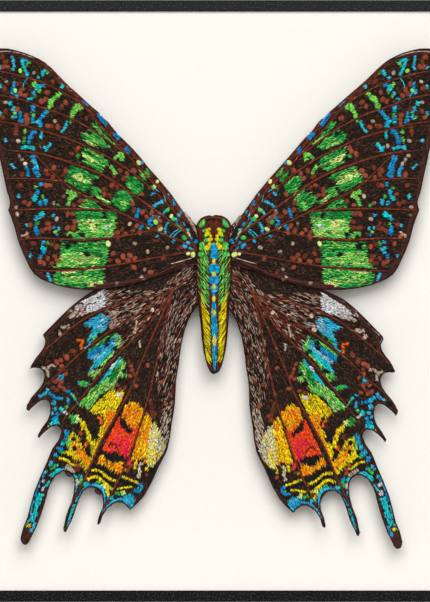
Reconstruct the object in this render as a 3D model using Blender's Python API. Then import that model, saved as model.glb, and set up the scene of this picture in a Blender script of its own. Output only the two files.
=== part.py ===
"""A framed embroidered moth: a stiff stitched moth floating on posts in front of an off-white board.

The object stands upright in the XZ plane and faces -Y. The wall is the plane y = 0. Everything is laid out in
millimetres round the frame's centre, with depth counted from the wall towards the front, and turned into metres
when a mesh is finished. The origin is the middle of the top rail's rear lip, which lies on the wall.
"""
from math import acos, cos, pi, radians, sin

import bmesh
import bpy
from mathutils import Matrix, Vector

# Driving dimensions, in millimetres
OUTER = 305.0            # the frame's side, outside: the twelve inch square
FACE = 5.8               # width of the rail's front face
DEPTH = 20.0             # from the wall to the rail's front face
LIP = 1.2                # thickness of the rail's front lip
WEB = 1.4                # thickness of the rail's outer wall
SHELF = 1.0              # thickness of the rail's inner shelf
CHANNEL_WIDTH = 9.0      # how far the rear channel reaches in from the outer side
CHANNEL_DEPTH = 5.6      # from the wall to the front of the shelf
REAR_LIP = 3.6           # width of the rear lip that lies on the wall
REAR_LIP_THICKNESS = 1.1
SLOT = 2.8               # open slot of the rear channel
INNER_LIP_BACK = 1.5     # the inner lip stays this far in front of the wall, to let the hanger pass
INNER_LIP_THICKNESS = 0.9
INNER_WALL = 1.1
EASED = 0.4              # small flat that breaks the front edges
GAP = 0.3                # clearance between pieces that touch
MOUNT_BOARD = 1.8        # thickness of the off-white board
BACKING_BOARD = 5.0      # thickness of the board behind it
POST_LENGTH = 8.3        # from the mount board to the back of a forewing
PANEL = 1.1              # thickness of a wing
VEIN = 0.6               # radius of a vein cord
MAIN_VEIN = 0.8          # radius of the thick vein through the forewing
VEIN_SINK = 0.28         # how far the first cord's middle lies behind the wing's face
VEIN_STEP = 0.02         # how much higher each further cord lies
POST_RADIUS = 2.6
POST_EDGE = 0.5          # rounding of a post's front edge
POST_SIDES = 12

HALF = OUTER / 2
BOARD_SIDE = OUTER - 2 * (WEB + GAP)
BOARD_FRONT = DEPTH - LIP - GAP
BOARD_BACK = BOARD_FRONT - MOUNT_BOARD
BACKING_FRONT = BOARD_BACK - GAP
BACKING_BACK = BACKING_FRONT - BACKING_BOARD
POST_BACK = BOARD_FRONT + GAP
FOREWING_BACK = BOARD_FRONT + 2 * GAP + POST_LENGTH
HINDWING_BACK = FOREWING_BACK - PANEL - GAP
BODY_BACK = FOREWING_BACK + PANEL + GAP
CENTRE_HEIGHT = -(HALF - REAR_LIP / 2)  # the frame's centre seen from the origin, which is on the rear lip

# Corner plates, screws, springs and hanger, in millimetres
PLATE_THICKNESS = 1.6
PLATE_LEG = 30.0
SCREW_RADIUS = 1.1
SCREW_FROM_CORNER = 22.0
SCREW_SLOT = 0.5
SPRING_SPAN = 46.0
SPRING_WIDTH = 10.0
SPRING_THICKNESS = 0.5
SPRING_PLACES = (-72.0, 72.0)
HANGER_LENGTH = 50.0
HANGER_DROP = 23.0
HANGER_THICKNESS = 0.9
HANGER_TEETH = 9
TOOTH = 1.2
WINDOW_LENGTH = 34.0
WINDOW_TOP = 14.0
WINDOW_BOTTOM = 20.5

# Outlines of the moth as (out from the body's middle line, up from the frame's centre), in millimetres.
# A third entry marks a sharp corner, and all other points lie on smooth stretches.
SHARP = True
FOREWING = [
    (2.0, 31.0, SHARP), (8.6, 38.2), (14.6, 44.2), (21.5, 54.1), (35.4, 70.1), (48.0, 83.2), (59.2, 95.1),
    (73.9, 107.6), (80.5, 114.7), (86.0, 120.3), (92.0, 124.0), (99.7, 126.8), (108.5, 127.9), (115.0, 125.6),
    (118.2, 119.8), (117.4, 108.0), (113.4, 92.0), (108.3, 72.8), (105.9, 62.0, SHARP), (104.4, 55.0),
    (102.9, 50.0), (103.8, 45.9, SHARP), (100.6, 37.3), (99.0, 30.8), (94.6, 20.4), (90.7, 13.7),
    (84.2, 9.9), (76.0, 7.3), (66.8, 6.0), (59.7, 5.8), (46.0, 7.6), (29.8, 12.0), (14.0, 17.4),
    (2.0, 20.0, SHARP),
]
HINDWING = [
    (2.0, 19.0, SHARP), (22.0, 19.0), (44.0, 12.5), (59.7, 5.7), (66.8, 1.3), (73.6, -4.3), (80.6, -11.2),
    (86.4, -17.1, SHARP), (85.1, -20.1), (86.1, -23.9), (89.6, -28.5), (92.9, -33.8, SHARP), (87.8, -34.0),
    (85.4, -38.0), (88.2, -44.4), (94.8, -53.6), (93.9, -55.6, SHARP), (90.2, -52.1), (84.7, -49.7),
    (82.5, -54.2), (84.0, -60.5), (89.2, -68.1), (88.6, -69.4, SHARP), (84.7, -65.4), (79.3, -63.0),
    (77.0, -66.3), (81.7, -74.6), (84.4, -81.2), (90.9, -96.5), (94.4, -109.7), (97.8, -119.6),
    (97.0, -122.6), (95.0, -123.4), (92.6, -120.0), (88.2, -110.3), (84.7, -99.2), (82.6, -92.3),
    (76.6, -86.2), (71.8, -88.0), (70.5, -93.0), (72.2, -102.0), (76.1, -114.6), (75.4, -117.0),
    (74.0, -115.0), (70.8, -108.3), (68.0, -100.0), (63.2, -94.2), (57.0, -97.3), (56.2, -104.1),
    (58.9, -111.6), (58.3, -113.1), (57.2, -111.6), (56.2, -108.3), (50.7, -102.3), (46.5, -101.9),
    (42.3, -105.5, SHARP), (35.4, -98.5), (27.8, -83.2), (23.6, -74.8), (21.5, -61.9), (19.8, -51.4),
    (19.4, -41.0), (18.0, -32.7), (16.6, -22.1), (13.1, -9.8), (9.0, -2.9), (4.0, 2.0, SHARP),
]
# Veins as routes over the wings from the wing's edge towards its root, the upper ones first.
# The forewing's short veins run into a longer one, so their last point lies on it.
FOREWING_VEINS = [
    [(115.8, 117.0), (108.3, 116.2), (98.2, 114.0), (88.1, 111.0), (81.0, 107.9), (73.3, 103.8), (68.3, 100.7)],
    [(68.3, 100.7), (61.7, 94.0), (57.1, 88.4), (49.1, 79.9), (44.7, 75.3), (37.4, 66.8), (33.2, 62.5),
     (25.0, 53.9), (20.7, 47.5), (16.4, 38.7), (11.6, 30.6), (8.3, 25.7)],
    [(115.0, 105.4), (98.2, 102.2), (88.1, 98.3), (77.9, 94.8), (67.8, 90.1), (57.7, 84.1), (48.2, 76.9),
     (44.7, 74.9)],
    [(111.5, 91.0), (103.3, 90.1), (93.1, 88.0), (72.9, 81.8), (62.7, 77.2), (52.8, 72.3), (43.6, 66.5),
     (34.4, 59.4), (25.7, 51.3), (19.4, 44.5)],
    [(91.6, 74.9), (88.1, 71.6), (81.1, 64.6), (74.4, 58.7), (67.4, 54.3), (52.6, 47.4), (42.5, 42.3),
     (33.3, 37.9), (29.6, 35.5), (19.5, 31.4), (11.0, 27.8)],
    [(106.0, 61.9), (98.2, 62.1), (88.1, 61.7), (77.2, 60.7)],
    [(104.0, 46.1), (98.2, 46.2), (77.9, 46.7), (57.7, 46.2), (48.5, 45.2)],
    [(98.2, 30.9), (88.1, 31.8), (67.8, 30.9), (57.7, 31.5), (42.5, 33.4), (30.6, 35.9)],
    [(90.0, 15.1), (72.9, 15.5), (62.7, 16.6), (47.5, 18.6), (27.3, 22.3), (9.5, 25.5)],
    [(60.5, 7.9), (47.5, 9.0), (37.4, 11.0), (28.4, 13.7), (22.6, 16.3), (14.8, 19.4)],
]
FOREWING_MAIN_VEIN = [
    (107.9, 76.5), (98.2, 75.7), (88.1, 74.5), (77.9, 71.8), (67.8, 68.3), (57.7, 64.4), (48.2, 59.1),
    (41.4, 54.2), (25.2, 42.7), (17.1, 36.5), (14.6, 34.9),
]
HINDWING_VEINS = [
    [(90.1, -29.7), (85.5, -24.9), (72.9, -14.3), (62.7, -7.4), (52.6, -3.1), (42.5, 0.3), (32.3, 2.2),
     (23.7, 4.2), (11.0, 13.3)],
    [(91.1, -48.5), (87.0, -43.7), (80.3, -38.5), (67.8, -26.8), (54.1, -16.3), (37.9, -6.2), (27.3, 1.3),
     (21.4, 5.9)],
    [(76.7, -60.9), (66.3, -48.0), (54.6, -33.4), (42.5, -21.0), (33.8, -12.8), (28.8, -6.2), (20.7, 5.5)],
    [(57.9, -109.8), (50.3, -94.6), (43.6, -80.6), (36.2, -59.1), (28.8, -30.8), (24.5, -10.0), (20.7, 5.2)],
]
HINDWING_MAIN_VEIN = [
    (75.1, -114.4), (72.7, -105.7), (69.2, -97.5), (61.7, -81.6), (55.9, -68.8), (43.2, -47.0), (37.9, -33.8),
    (29.3, -13.9), (20.2, 5.9),
]
# The right hindwing isn't a true mirror of the left one: it was set lower, nearer the middle and a little turned.
HINDWING_ROOT = (8.0, 8.0)
RIGHT_TURN = 0.6         # degrees about the root, tails towards the middle
RIGHT_DROP = 1.2
RIGHT_INWARD = 1.0
# The body's stations from the head to the tip: (up, half width, height of the padded front)
BODY = [
    (42.8, 0.0, 0.0), (42.3, 3.4, 2.2), (41.2, 5.9, 3.6), (39.7, 7.7, 4.5), (37.8, 8.5, 5.0), (35.4, 8.3, 4.9),
    (33.2, 8.0, 4.8), (30.0, 8.4, 5.4), (24.0, 8.8, 6.0), (16.0, 8.8, 6.1), (8.8, 8.4, 5.9), (2.0, 7.6, 5.4),
    (-3.4, 6.9, 5.0), (-11.0, 6.4, 4.7), (-18.1, 5.9, 4.4), (-24.0, 5.1, 3.9), (-29.7, 3.9, 3.1),
    (-33.6, 2.5, 2.2), (-36.0, 1.2, 1.2), (-36.8, 0.0, 0.0),
]
BODY_SIDES = 20
# Posts behind the moth. Two of the left hindwing's show in its bays, and one beside the body.
FOREWING_POSTS = [(92.0, 98.0), (58.0, 64.0), (72.0, 24.0)]
LEFT_HINDWING_POSTS = [(72.9, -86.4), (57.9, -95.6), (8.6, 0.4), (66.0, -34.0)]
RIGHT_HINDWING_POSTS = [(72.0, -80.0), (50.0, -88.0), (14.0, 1.5), (66.0, -34.0)]
BODY_POSTS = [-6.0, -24.0]

BLACK_POWDER = ((0.020, 0.021, 0.022), 0.55, 0.0)
OFF_WHITE = ((0.97, 0.95, 0.89), 0.85, 0.0)
KRAFT = ((0.42, 0.30, 0.19), 0.90, 0.0)
SPRING_STEEL = ((0.30, 0.31, 0.33), 0.35, 1.0)
ZINC = ((0.55, 0.56, 0.57), 0.40, 1.0)
BLACK_PLASTIC = ((0.015, 0.017, 0.016), 0.40, 0.0)
BROWN_THREAD = ((0.060, 0.026, 0.019), 0.75, 0.0)
BODY_THREAD = ((0.127, 0.033, 0.019), 0.75, 0.0)


def clear_scene():
    for ob in list(bpy.data.objects):
        bpy.data.objects.remove(ob)


def make_material(name, look):
    colour, roughness, metallic = look
    material = bpy.data.materials.new(name)
    material.use_nodes = True
    shader = material.node_tree.nodes["Principled BSDF"]
    shader.inputs["Base Color"].default_value = (*colour, 1.0)
    shader.inputs["Roughness"].default_value = roughness
    shader.inputs["Metallic"].default_value = metallic
    return material


def mesh_object(name, mesh, collection):
    ob = bpy.data.objects.new(name, mesh)
    collection.objects.link(ob)
    return ob


def curve_to_mesh(curve, collection):
    """Turns curve data into a mesh with its caps welded, and drops the curve."""
    guide = mesh_object("guide", curve, collection)
    evaluated = guide.evaluated_get(bpy.context.evaluated_depsgraph_get())
    mesh = bpy.data.meshes.new_from_object(evaluated)
    bpy.data.objects.remove(guide)
    bpy.data.curves.remove(curve)
    shape = bmesh.new()
    shape.from_mesh(mesh)
    bmesh.ops.remove_doubles(shape, verts=shape.verts, dist=0.001)
    bmesh.ops.recalc_face_normals(shape, faces=shape.faces)
    shape.to_mesh(mesh)
    shape.free()
    return mesh


def smooth_spline(curve, points, steps):
    """Adds a spline through the points, smooth except at the marked corners."""
    spline = curve.splines.new("BEZIER")
    spline.bezier_points.add(len(points) - 1)
    for knot, (x, y, *sharp) in zip(spline.bezier_points, points):
        knot.co = (x, y, 0)
        kind = "VECTOR" if sharp else "AUTO"
        knot.handle_left_type = kind
        knot.handle_right_type = kind
    spline.resolution_u = steps
    return spline


def corner_spline(curve, points):
    spline = curve.splines.new("POLY")
    spline.points.add(len(points) - 1)
    for knot, (x, y) in zip(spline.points, points):
        knot.co = (x, y, 0, 1)
    spline.use_cyclic_u = True


def flat_plate(outlines, thickness, collection, steps=0):
    """A flat plate in the XY plane, its back at z = 0. Outlines after the first are holes."""
    curve = bpy.data.curves.new("outline", "CURVE")
    curve.dimensions = "2D"
    curve.fill_mode = "BOTH"
    curve.extrude = thickness / 2
    for points in outlines:
        if steps:
            smooth_spline(curve, points, steps).use_cyclic_u = True
        else:
            corner_spline(curve, points)
    mesh = curve_to_mesh(curve, collection)
    mesh.transform(Matrix.Translation((0, 0, thickness / 2)))
    return mesh


def cord(points, radius, height, collection):
    """A four sided cord along a smooth route at a height over the XY plane."""
    curve = bpy.data.curves.new("route", "CURVE")
    curve.dimensions = "3D"
    curve.bevel_depth = radius
    curve.bevel_resolution = 0
    curve.use_fill_caps = True
    smooth_spline(curve, points, 2)
    mesh = curve_to_mesh(curve, collection)
    mesh.transform(Matrix.Translation((0, 0, height)))
    return mesh


def combined(base, tools, operation, collection):
    """The base mesh joined with, or cut by, all the tool meshes in one step."""
    cutters = bpy.data.collections.new("cutters")
    collection.children.link(cutters)
    ob = mesh_object("work", base, collection)
    for tool in tools:
        mesh_object("cutter", tool, cutters)
    step = ob.modifiers.new("step", "BOOLEAN")
    step.operation = operation
    step.solver = "EXACT"
    step.operand_type = "COLLECTION"
    step.collection = cutters
    evaluated = ob.evaluated_get(bpy.context.evaluated_depsgraph_get())
    mesh = bpy.data.meshes.new_from_object(evaluated)
    for cutter in list(cutters.objects):
        bpy.data.objects.remove(cutter)
    bpy.data.collections.remove(cutters)
    bpy.data.objects.remove(ob)
    return mesh


def box(x0, x1, y0, y1, z0, z1):
    mesh = bpy.data.meshes.new("box")
    shape = bmesh.new()
    size = Matrix.Diagonal((x1 - x0, y1 - y0, z1 - z0, 1))
    centre = Matrix.Translation(((x0 + x1) / 2, (y0 + y1) / 2, (z0 + z1) / 2))
    bmesh.ops.create_cube(shape, size=1, matrix=centre @ size)
    shape.to_mesh(mesh)
    shape.free()
    return mesh


def upright(mesh, depth):
    """Stands a mesh drawn in the XY plane up in the XZ plane, its back at the given depth from the wall."""
    mesh.transform(Matrix.Translation((0, -depth, 0)) @ Matrix.Rotation(radians(90), 4, "X"))
    return mesh


def finish(name, mesh, collection, material, turn=0.0, smooth=False):
    """Names a finished piece, turns millimetres into metres and hangs it from the origin.
    A piece made for the top rail or the top right corner is turned about the frame's centre to its own place."""
    mesh.transform(Matrix.Scale(0.001, 4))
    if smooth:
        mesh.shade_smooth()
        mesh.set_sharp_from_angle(angle=radians(40))
    else:
        mesh.shade_flat()
    mesh.materials.clear()
    mesh.materials.append(material)
    ob = mesh_object(name, mesh, collection)
    ob.location = (0, 0, CENTRE_HEIGHT * 0.001)
    ob.rotation_euler = (0, turn, 0)
    return ob


def rail_section():
    """The rail's section as (in from the outer side, out from the wall)."""
    shelf_back = CHANNEL_DEPTH - SHELF
    inner_lip_front = INNER_LIP_BACK + INNER_LIP_THICKNESS
    inner_wall = CHANNEL_WIDTH - INNER_WALL
    slot_end = REAR_LIP + SLOT
    return [
        (0, 0), (0, DEPTH - EASED), (EASED, DEPTH), (FACE - EASED, DEPTH), (FACE, DEPTH - EASED),
        (FACE, DEPTH - LIP), (WEB, DEPTH - LIP), (WEB, CHANNEL_DEPTH), (CHANNEL_WIDTH, CHANNEL_DEPTH),
        (CHANNEL_WIDTH, INNER_LIP_BACK), (slot_end, INNER_LIP_BACK), (slot_end, inner_lip_front),
        (inner_wall, inner_lip_front), (inner_wall, shelf_back), (WEB, shelf_back),
        (WEB, REAR_LIP_THICKNESS), (REAR_LIP, REAR_LIP_THICKNESS), (REAR_LIP, 0),
    ]


def rail_mesh(collection):
    """The top rail: its section drawn out along X, with both ends cut to a mitre."""
    mesh = flat_plate([rail_section()], 2.0, collection)
    mitre_gap = GAP / 2
    for vertex in mesh.vertices:
        inset, out, along = vertex.co
        end = HALF - inset - mitre_gap
        vertex.co = (end if along > 1.0 else -end, -out, HALF - inset)
    shape = bmesh.new()
    shape.from_mesh(mesh)
    bmesh.ops.recalc_face_normals(shape, faces=shape.faces)
    shape.to_mesh(mesh)
    shape.free()
    return mesh


def corner_plate_mesh(collection):
    """The angle plate in the rear channel of the top right corner, with a hole for each screw."""
    near = HALF - WEB - GAP
    far = HALF - CHANNEL_WIDTH + INNER_WALL + GAP
    end = near - PLATE_LEG
    outline = [(near, near), (end, near), (end, far), (far, far), (far, end), (near, end)]
    holes = [round_outline(x, z, SCREW_RADIUS + GAP) for x, z in screw_places()]
    mesh = flat_plate([outline, *holes], PLATE_THICKNESS, collection)
    return upright(mesh, INNER_LIP_BACK + INNER_LIP_THICKNESS + GAP)


def screw_places():
    line = HALF - REAR_LIP - SLOT / 2
    back = HALF - SCREW_FROM_CORNER
    return [(back, line), (line, back)]


def round_outline(x, y, radius, sides=12):
    turns = [2 * pi * k / sides for k in range(sides)]
    return [(x + radius * cos(a), y + radius * sin(a)) for a in turns]


def screw_mesh(x, z, collection):
    """A grub screw that presses on the channel's shelf, with its slot towards the wall."""
    back = REAR_LIP_THICKNESS + GAP
    front = CHANNEL_DEPTH - SHELF - GAP
    body = flat_plate([round_outline(0, 0, SCREW_RADIUS)], front - back, collection)
    slot = box(-2 * SCREW_RADIUS, 2 * SCREW_RADIUS, -SCREW_SLOT / 2, SCREW_SLOT / 2, -1.0, 0.6)
    mesh = combined(body, [slot], "DIFFERENCE", collection)
    mesh.transform(Matrix.Translation((x, z, 0)) @ Matrix.Rotation(radians(35), 4, "Z"))
    return upright(mesh, back)


def spring_mesh(along, collection):
    """A bowed strip between the top rail's shelf and the backing board."""
    front = BACKING_BACK - GAP
    back = CHANNEL_DEPTH + GAP
    rise = front - back - SPRING_THICKNESS
    steps = 12
    middle = []
    for k in range(steps + 1):
        t = k / steps
        middle.append((along + (t - 0.5) * SPRING_SPAN, back + rise * sin(pi * t)))
    outline = middle + [(x, out + SPRING_THICKNESS) for x, out in reversed(middle)]
    mesh = flat_plate([outline], SPRING_WIDTH, collection)
    shift = Matrix.Translation((0, 0, HALF - WEB - 2 * GAP - SPRING_WIDTH))
    mesh.transform(shift @ Matrix.Diagonal((1, -1, 1, 1)))
    mesh.flip_normals()
    return mesh


def hanger_mesh(collection):
    """The sawtooth hanger: a foot in the top rail's channel, a neck through its slot and a toothed plate."""
    half = HANGER_LENGTH / 2
    top = HALF - REAR_LIP - GAP
    outline = [(-half, top), (half, top), (half, HALF - HANGER_DROP), (-half, HALF - HANGER_DROP)]
    pitch = WINDOW_LENGTH / HANGER_TEETH
    teeth = []
    for k in range(HANGER_TEETH):
        left = -WINDOW_LENGTH / 2 + k * pitch
        teeth += [(left, HALF - WINDOW_TOP - TOOTH), (left + pitch / 2, HALF - WINDOW_TOP)]
    teeth.append((WINDOW_LENGTH / 2, HALF - WINDOW_TOP - TOOTH))
    window = teeth + [(WINDOW_LENGTH / 2, HALF - WINDOW_BOTTOM), (-WINDOW_LENGTH / 2, HALF - WINDOW_BOTTOM)]
    plate = upright(flat_plate([outline, window], HANGER_THICKNESS, collection), GAP)
    foot_back = INNER_LIP_BACK + INNER_LIP_THICKNESS + GAP
    foot_top = HALF - WEB - GAP
    foot_bottom = HALF - CHANNEL_WIDTH + INNER_WALL + GAP
    foot = box(-half, half, -foot_back - HANGER_THICKNESS, -foot_back, foot_bottom, foot_top)
    neck_bottom = HALF - REAR_LIP - SLOT + GAP
    neck = box(-half + 4, half - 4, -foot_back - 0.2, -GAP - 0.2, neck_bottom, top)
    return combined(plate, [neck, foot], "UNION", collection)


def forewing_place(out, up, side):
    return side * out, up


def hindwing_place(out, up, side):
    if side < 0:
        return -out, up
    turn = radians(RIGHT_TURN)
    out -= HINDWING_ROOT[0]
    up -= HINDWING_ROOT[1]
    x = HINDWING_ROOT[0] - RIGHT_INWARD + out * cos(turn) + up * sin(turn)
    z = HINDWING_ROOT[1] - RIGHT_DROP - out * sin(turn) + up * cos(turn)
    return x, z


def wing_mesh(outline, veins, main_vein, back, place, side, collection):
    """One wing: a flat stitched panel with its vein cords half sunk in the front. The side is -1 for the left.
    Each cord lies a hair higher than the one before, so that they cross cleanly."""
    placed = [(*place(out, up, side), *sharp) for out, up, *sharp in outline]
    panel = flat_plate([placed], PANEL, collection, steps=2)
    routes = [(route, VEIN) for route in veins] + [(main_vein, MAIN_VEIN)]
    cords = []
    for number, (route, radius) in enumerate(routes):
        height = PANEL - VEIN_SINK + number * VEIN_STEP
        cords.append(cord([place(out, up, side) for out, up in route], radius, height, collection))
    return upright(combined(panel, cords, "UNION", collection), back)


def body_mesh():
    """The padded body: a sphere whose rings take the body's stations, flat at the back."""
    mesh = bpy.data.meshes.new("body")
    shape = bmesh.new()
    rings = len(BODY) - 1
    bmesh.ops.create_uvsphere(shape, u_segments=BODY_SIDES, v_segments=rings, radius=1.0)
    for vertex in shape.verts:
        from_pole = acos(max(-1.0, min(1.0, vertex.co.z)))
        up, half_width, height = BODY[round(from_pole / pi * rings)]
        around = vertex.co.xy.normalized() if half_width else Vector((0, 0))
        front = max(0.0, -around.y) ** 0.8
        vertex.co = (half_width * around.x, -BODY_BACK - height * front, up)
    bmesh.ops.recalc_face_normals(shape, faces=shape.faces)
    shape.to_mesh(mesh)
    shape.free()
    return mesh


def post_mesh(x, z, back, front):
    """A round post with its front edge rounded."""
    mesh = bpy.data.meshes.new("post")
    shape = bmesh.new()
    bmesh.ops.create_cone(
        shape, cap_ends=True, segments=POST_SIDES, radius1=POST_RADIUS, radius2=POST_RADIUS, depth=front - back,
        matrix=Matrix.Translation((x, -(front + back) / 2, z)) @ Matrix.Rotation(radians(90), 4, "X"),
    )
    rim = [edge for edge in shape.edges if all(v.co.y < -front + 0.01 for v in edge.verts)]
    bmesh.ops.bevel(shape, geom=rim, offset=POST_EDGE, offset_type="OFFSET", segments=1, affect="EDGES")
    shape.to_mesh(mesh)
    shape.free()
    return mesh


def build_frame(parts):
    powder = make_material("black powder coat", BLACK_POWDER)
    zinc = make_material("zinc plated steel", ZINC)
    steel = make_material("spring steel", SPRING_STEEL)
    for number, side in enumerate(("top", "right", "bottom", "left")):
        turn = number * pi / 2
        finish(f"frame_rail_{side}", rail_mesh(parts), parts, powder, turn)
        for k, along in enumerate(SPRING_PLACES, 1):
            finish(f"bow_spring_{side}_{k}", spring_mesh(along, parts), parts, steel, turn)
    for number, corner in enumerate(("top_right", "bottom_right", "bottom_left", "top_left")):
        turn = number * pi / 2
        finish(f"corner_plate_{corner}", corner_plate_mesh(parts), parts, zinc, turn)
        for k, (x, z) in enumerate(screw_places(), 1):
            finish(f"corner_screw_{corner}_{k}", screw_mesh(x, z, parts), parts, zinc, turn)
    finish("sawtooth_hanger", hanger_mesh(parts), parts, zinc)


def build_boards(parts):
    half = BOARD_SIDE / 2
    front = box(-half, half, -BOARD_FRONT, -BOARD_BACK, -half, half)
    finish("mount_board", front, parts, make_material("off-white board", OFF_WHITE))
    behind = box(-half, half, -BACKING_FRONT, -BACKING_BACK, -half, half)
    finish("backing_board", behind, parts, make_material("kraft faced board", KRAFT))


def build_posts(parts):
    plastic = make_material("black plastic", BLACK_PLASTIC)
    hindwing_posts = {-1: LEFT_HINDWING_POSTS, 1: RIGHT_HINDWING_POSTS}
    for side, name in ((-1, "left"), (1, "right")):
        for k, (x, z) in enumerate(FOREWING_POSTS, 1):
            mesh = post_mesh(side * x, z, POST_BACK, FOREWING_BACK - GAP)
            finish(f"post_forewing_{name}_{k}", mesh, parts, plastic, smooth=True)
        for k, (x, z) in enumerate(hindwing_posts[side], 1):
            mesh = post_mesh(side * x, z, POST_BACK, HINDWING_BACK - GAP)
            finish(f"post_hindwing_{name}_{k}", mesh, parts, plastic, smooth=True)
    for k, z in enumerate(BODY_POSTS, 1):
        finish(f"post_body_{k}", post_mesh(0, z, POST_BACK, BODY_BACK - GAP), parts, plastic, smooth=True)


def build_moth(parts):
    brown = make_material("brown thread", BROWN_THREAD)
    finish("moth_body", body_mesh(), parts, make_material("body thread", BODY_THREAD), smooth=True)
    for side, name in ((-1, "left"), (1, "right")):
        fore = wing_mesh(
            FOREWING, FOREWING_VEINS, FOREWING_MAIN_VEIN, FOREWING_BACK, forewing_place, side, parts,
        )
        finish(f"forewing_{name}", fore, parts, brown)
        hind = wing_mesh(
            HINDWING, HINDWING_VEINS, HINDWING_MAIN_VEIN, HINDWING_BACK, hindwing_place, side, parts,
        )
        finish(f"hindwing_{name}", hind, parts, brown)


def main():
    clear_scene()
    parts = bpy.data.collections.new("framed_embroidered_moth")
    bpy.context.scene.collection.children.link(parts)
    build_frame(parts)
    build_boards(parts)
    build_posts(parts)
    build_moth(parts)


main()
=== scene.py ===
"""Dresses the framed embroidered moth with its thread, cords, boards and powder coat.

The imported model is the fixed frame. Its rails, boards, posts and fittings get their finishes here, and the flat
wings get their embroidery: every stitch is a strand of thread with its own shape, laid along the wing's grain.
Patterns are drawn in millimetres as (out from the body's middle line, up from the frame's centre) for the left
side, and the right side is laid from the same points with stitches of its own.
"""
from math import cos, pi, radians, sin, tan

import bmesh
import bpy
import numpy as np
from mathutils import Matrix, Vector
from mathutils.bvhtree import BVHTree


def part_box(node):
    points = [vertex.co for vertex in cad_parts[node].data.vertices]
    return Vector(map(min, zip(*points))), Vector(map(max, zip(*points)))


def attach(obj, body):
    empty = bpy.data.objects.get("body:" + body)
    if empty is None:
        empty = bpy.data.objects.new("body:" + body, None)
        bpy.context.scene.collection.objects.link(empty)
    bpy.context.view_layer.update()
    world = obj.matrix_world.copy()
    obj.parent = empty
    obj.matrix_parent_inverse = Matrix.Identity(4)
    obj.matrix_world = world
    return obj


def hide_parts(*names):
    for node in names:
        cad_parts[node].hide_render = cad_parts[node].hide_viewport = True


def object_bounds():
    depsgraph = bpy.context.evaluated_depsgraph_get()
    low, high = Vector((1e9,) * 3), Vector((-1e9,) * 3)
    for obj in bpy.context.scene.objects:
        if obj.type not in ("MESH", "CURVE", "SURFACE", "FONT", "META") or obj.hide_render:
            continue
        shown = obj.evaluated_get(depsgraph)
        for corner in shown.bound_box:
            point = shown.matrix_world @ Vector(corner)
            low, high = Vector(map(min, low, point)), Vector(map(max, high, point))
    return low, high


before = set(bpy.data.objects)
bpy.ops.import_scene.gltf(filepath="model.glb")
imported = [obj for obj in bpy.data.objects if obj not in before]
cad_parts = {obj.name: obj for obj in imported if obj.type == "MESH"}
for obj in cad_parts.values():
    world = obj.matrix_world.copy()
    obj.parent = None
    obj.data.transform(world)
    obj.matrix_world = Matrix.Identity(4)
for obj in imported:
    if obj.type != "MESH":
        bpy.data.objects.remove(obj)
CAD_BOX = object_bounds()

bl_info = {
    "name": "Framed embroidered moth",
    "version": (1, 0, 0),
    "blender": (4, 5, 0),
    "location": "View3D > Sidebar > Moth",
    "description": "Dresses the framed embroidered moth, one group of pieces at a time",
    "category": "Object",
}

MM = 0.001               # metres in a millimetre
BODY_NAME = "root"
SIDES = {"left": -1, "right": 1}
PANEL = 1.1              # thickness of a wing's stiff panel

# The frame's centre, from the mount board's own box
BOARD_LOW, BOARD_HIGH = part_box("mount_board")
CENTRE = (BOARD_LOW + BOARD_HIGH) / 2
FRAME_FRONT = CAD_BOX[0].y
FLOOR_HEIGHT = CAD_BOX[0].z

# The right hindwing isn't a true mirror of the left one: it was set lower, nearer the middle and a little turned
HINDWING_ROOT = np.array((8.0, 8.0))
RIGHT_TURN = radians(0.6)
RIGHT_DROP = 1.2
RIGHT_INWARD = 1.0

# Veins as routes over the wings from the wing's edge towards its root, the upper ones first
FOREWING_VEINS = [
    [(115.8, 117.0), (108.3, 116.2), (98.2, 114.0), (88.1, 111.0), (81.0, 107.9), (73.3, 103.8), (68.3, 100.7)],
    [(68.3, 100.7), (61.7, 94.0), (57.1, 88.4), (49.1, 79.9), (44.7, 75.3), (37.4, 66.8), (33.2, 62.5),
     (25.0, 53.9), (20.7, 47.5), (16.4, 38.7), (11.6, 30.6), (8.3, 25.7)],
    [(115.0, 105.4), (98.2, 102.2), (88.1, 98.3), (77.9, 94.8), (67.8, 90.1), (57.7, 84.1), (48.2, 76.9),
     (44.7, 74.9)],
    [(111.5, 91.0), (103.3, 90.1), (93.1, 88.0), (72.9, 81.8), (62.7, 77.2), (52.8, 72.3), (43.6, 66.5),
     (34.4, 59.4), (25.7, 51.3), (19.4, 44.5)],
    [(91.6, 74.9), (88.1, 71.6), (81.1, 64.6), (74.4, 58.7), (67.4, 54.3), (52.6, 47.4), (42.5, 42.3),
     (33.3, 37.9), (29.6, 35.5), (19.5, 31.4), (11.0, 27.8)],
    [(106.0, 61.9), (98.2, 62.1), (88.1, 61.7), (77.2, 60.7)],
    [(104.0, 46.1), (98.2, 46.2), (77.9, 46.7), (57.7, 46.2), (48.5, 45.2)],
    [(98.2, 30.9), (88.1, 31.8), (67.8, 30.9), (57.7, 31.5), (42.5, 33.4), (30.6, 35.9)],
    [(90.0, 15.1), (72.9, 15.5), (62.7, 16.6), (47.5, 18.6), (27.3, 22.3), (9.5, 25.5)],
]
FOREWING_LOW_VEIN = [(60.5, 7.9), (47.5, 9.0), (37.4, 11.0), (28.4, 13.7), (22.6, 16.3), (14.8, 19.4)]
FOREWING_MAIN_VEIN = [
    (107.9, 76.5), (98.2, 75.7), (88.1, 74.5), (77.9, 71.8), (67.8, 68.3), (57.7, 64.4), (48.2, 59.1),
    (41.4, 54.2), (25.2, 42.7), (17.1, 36.5), (14.6, 34.9),
]
# What lies above this line, as (out, up), is the forewing's front
FRONT_LINE = [(0, 22), (8, 27), (15, 32.5), (41, 52), (68, 66), (120, 76)]
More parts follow.
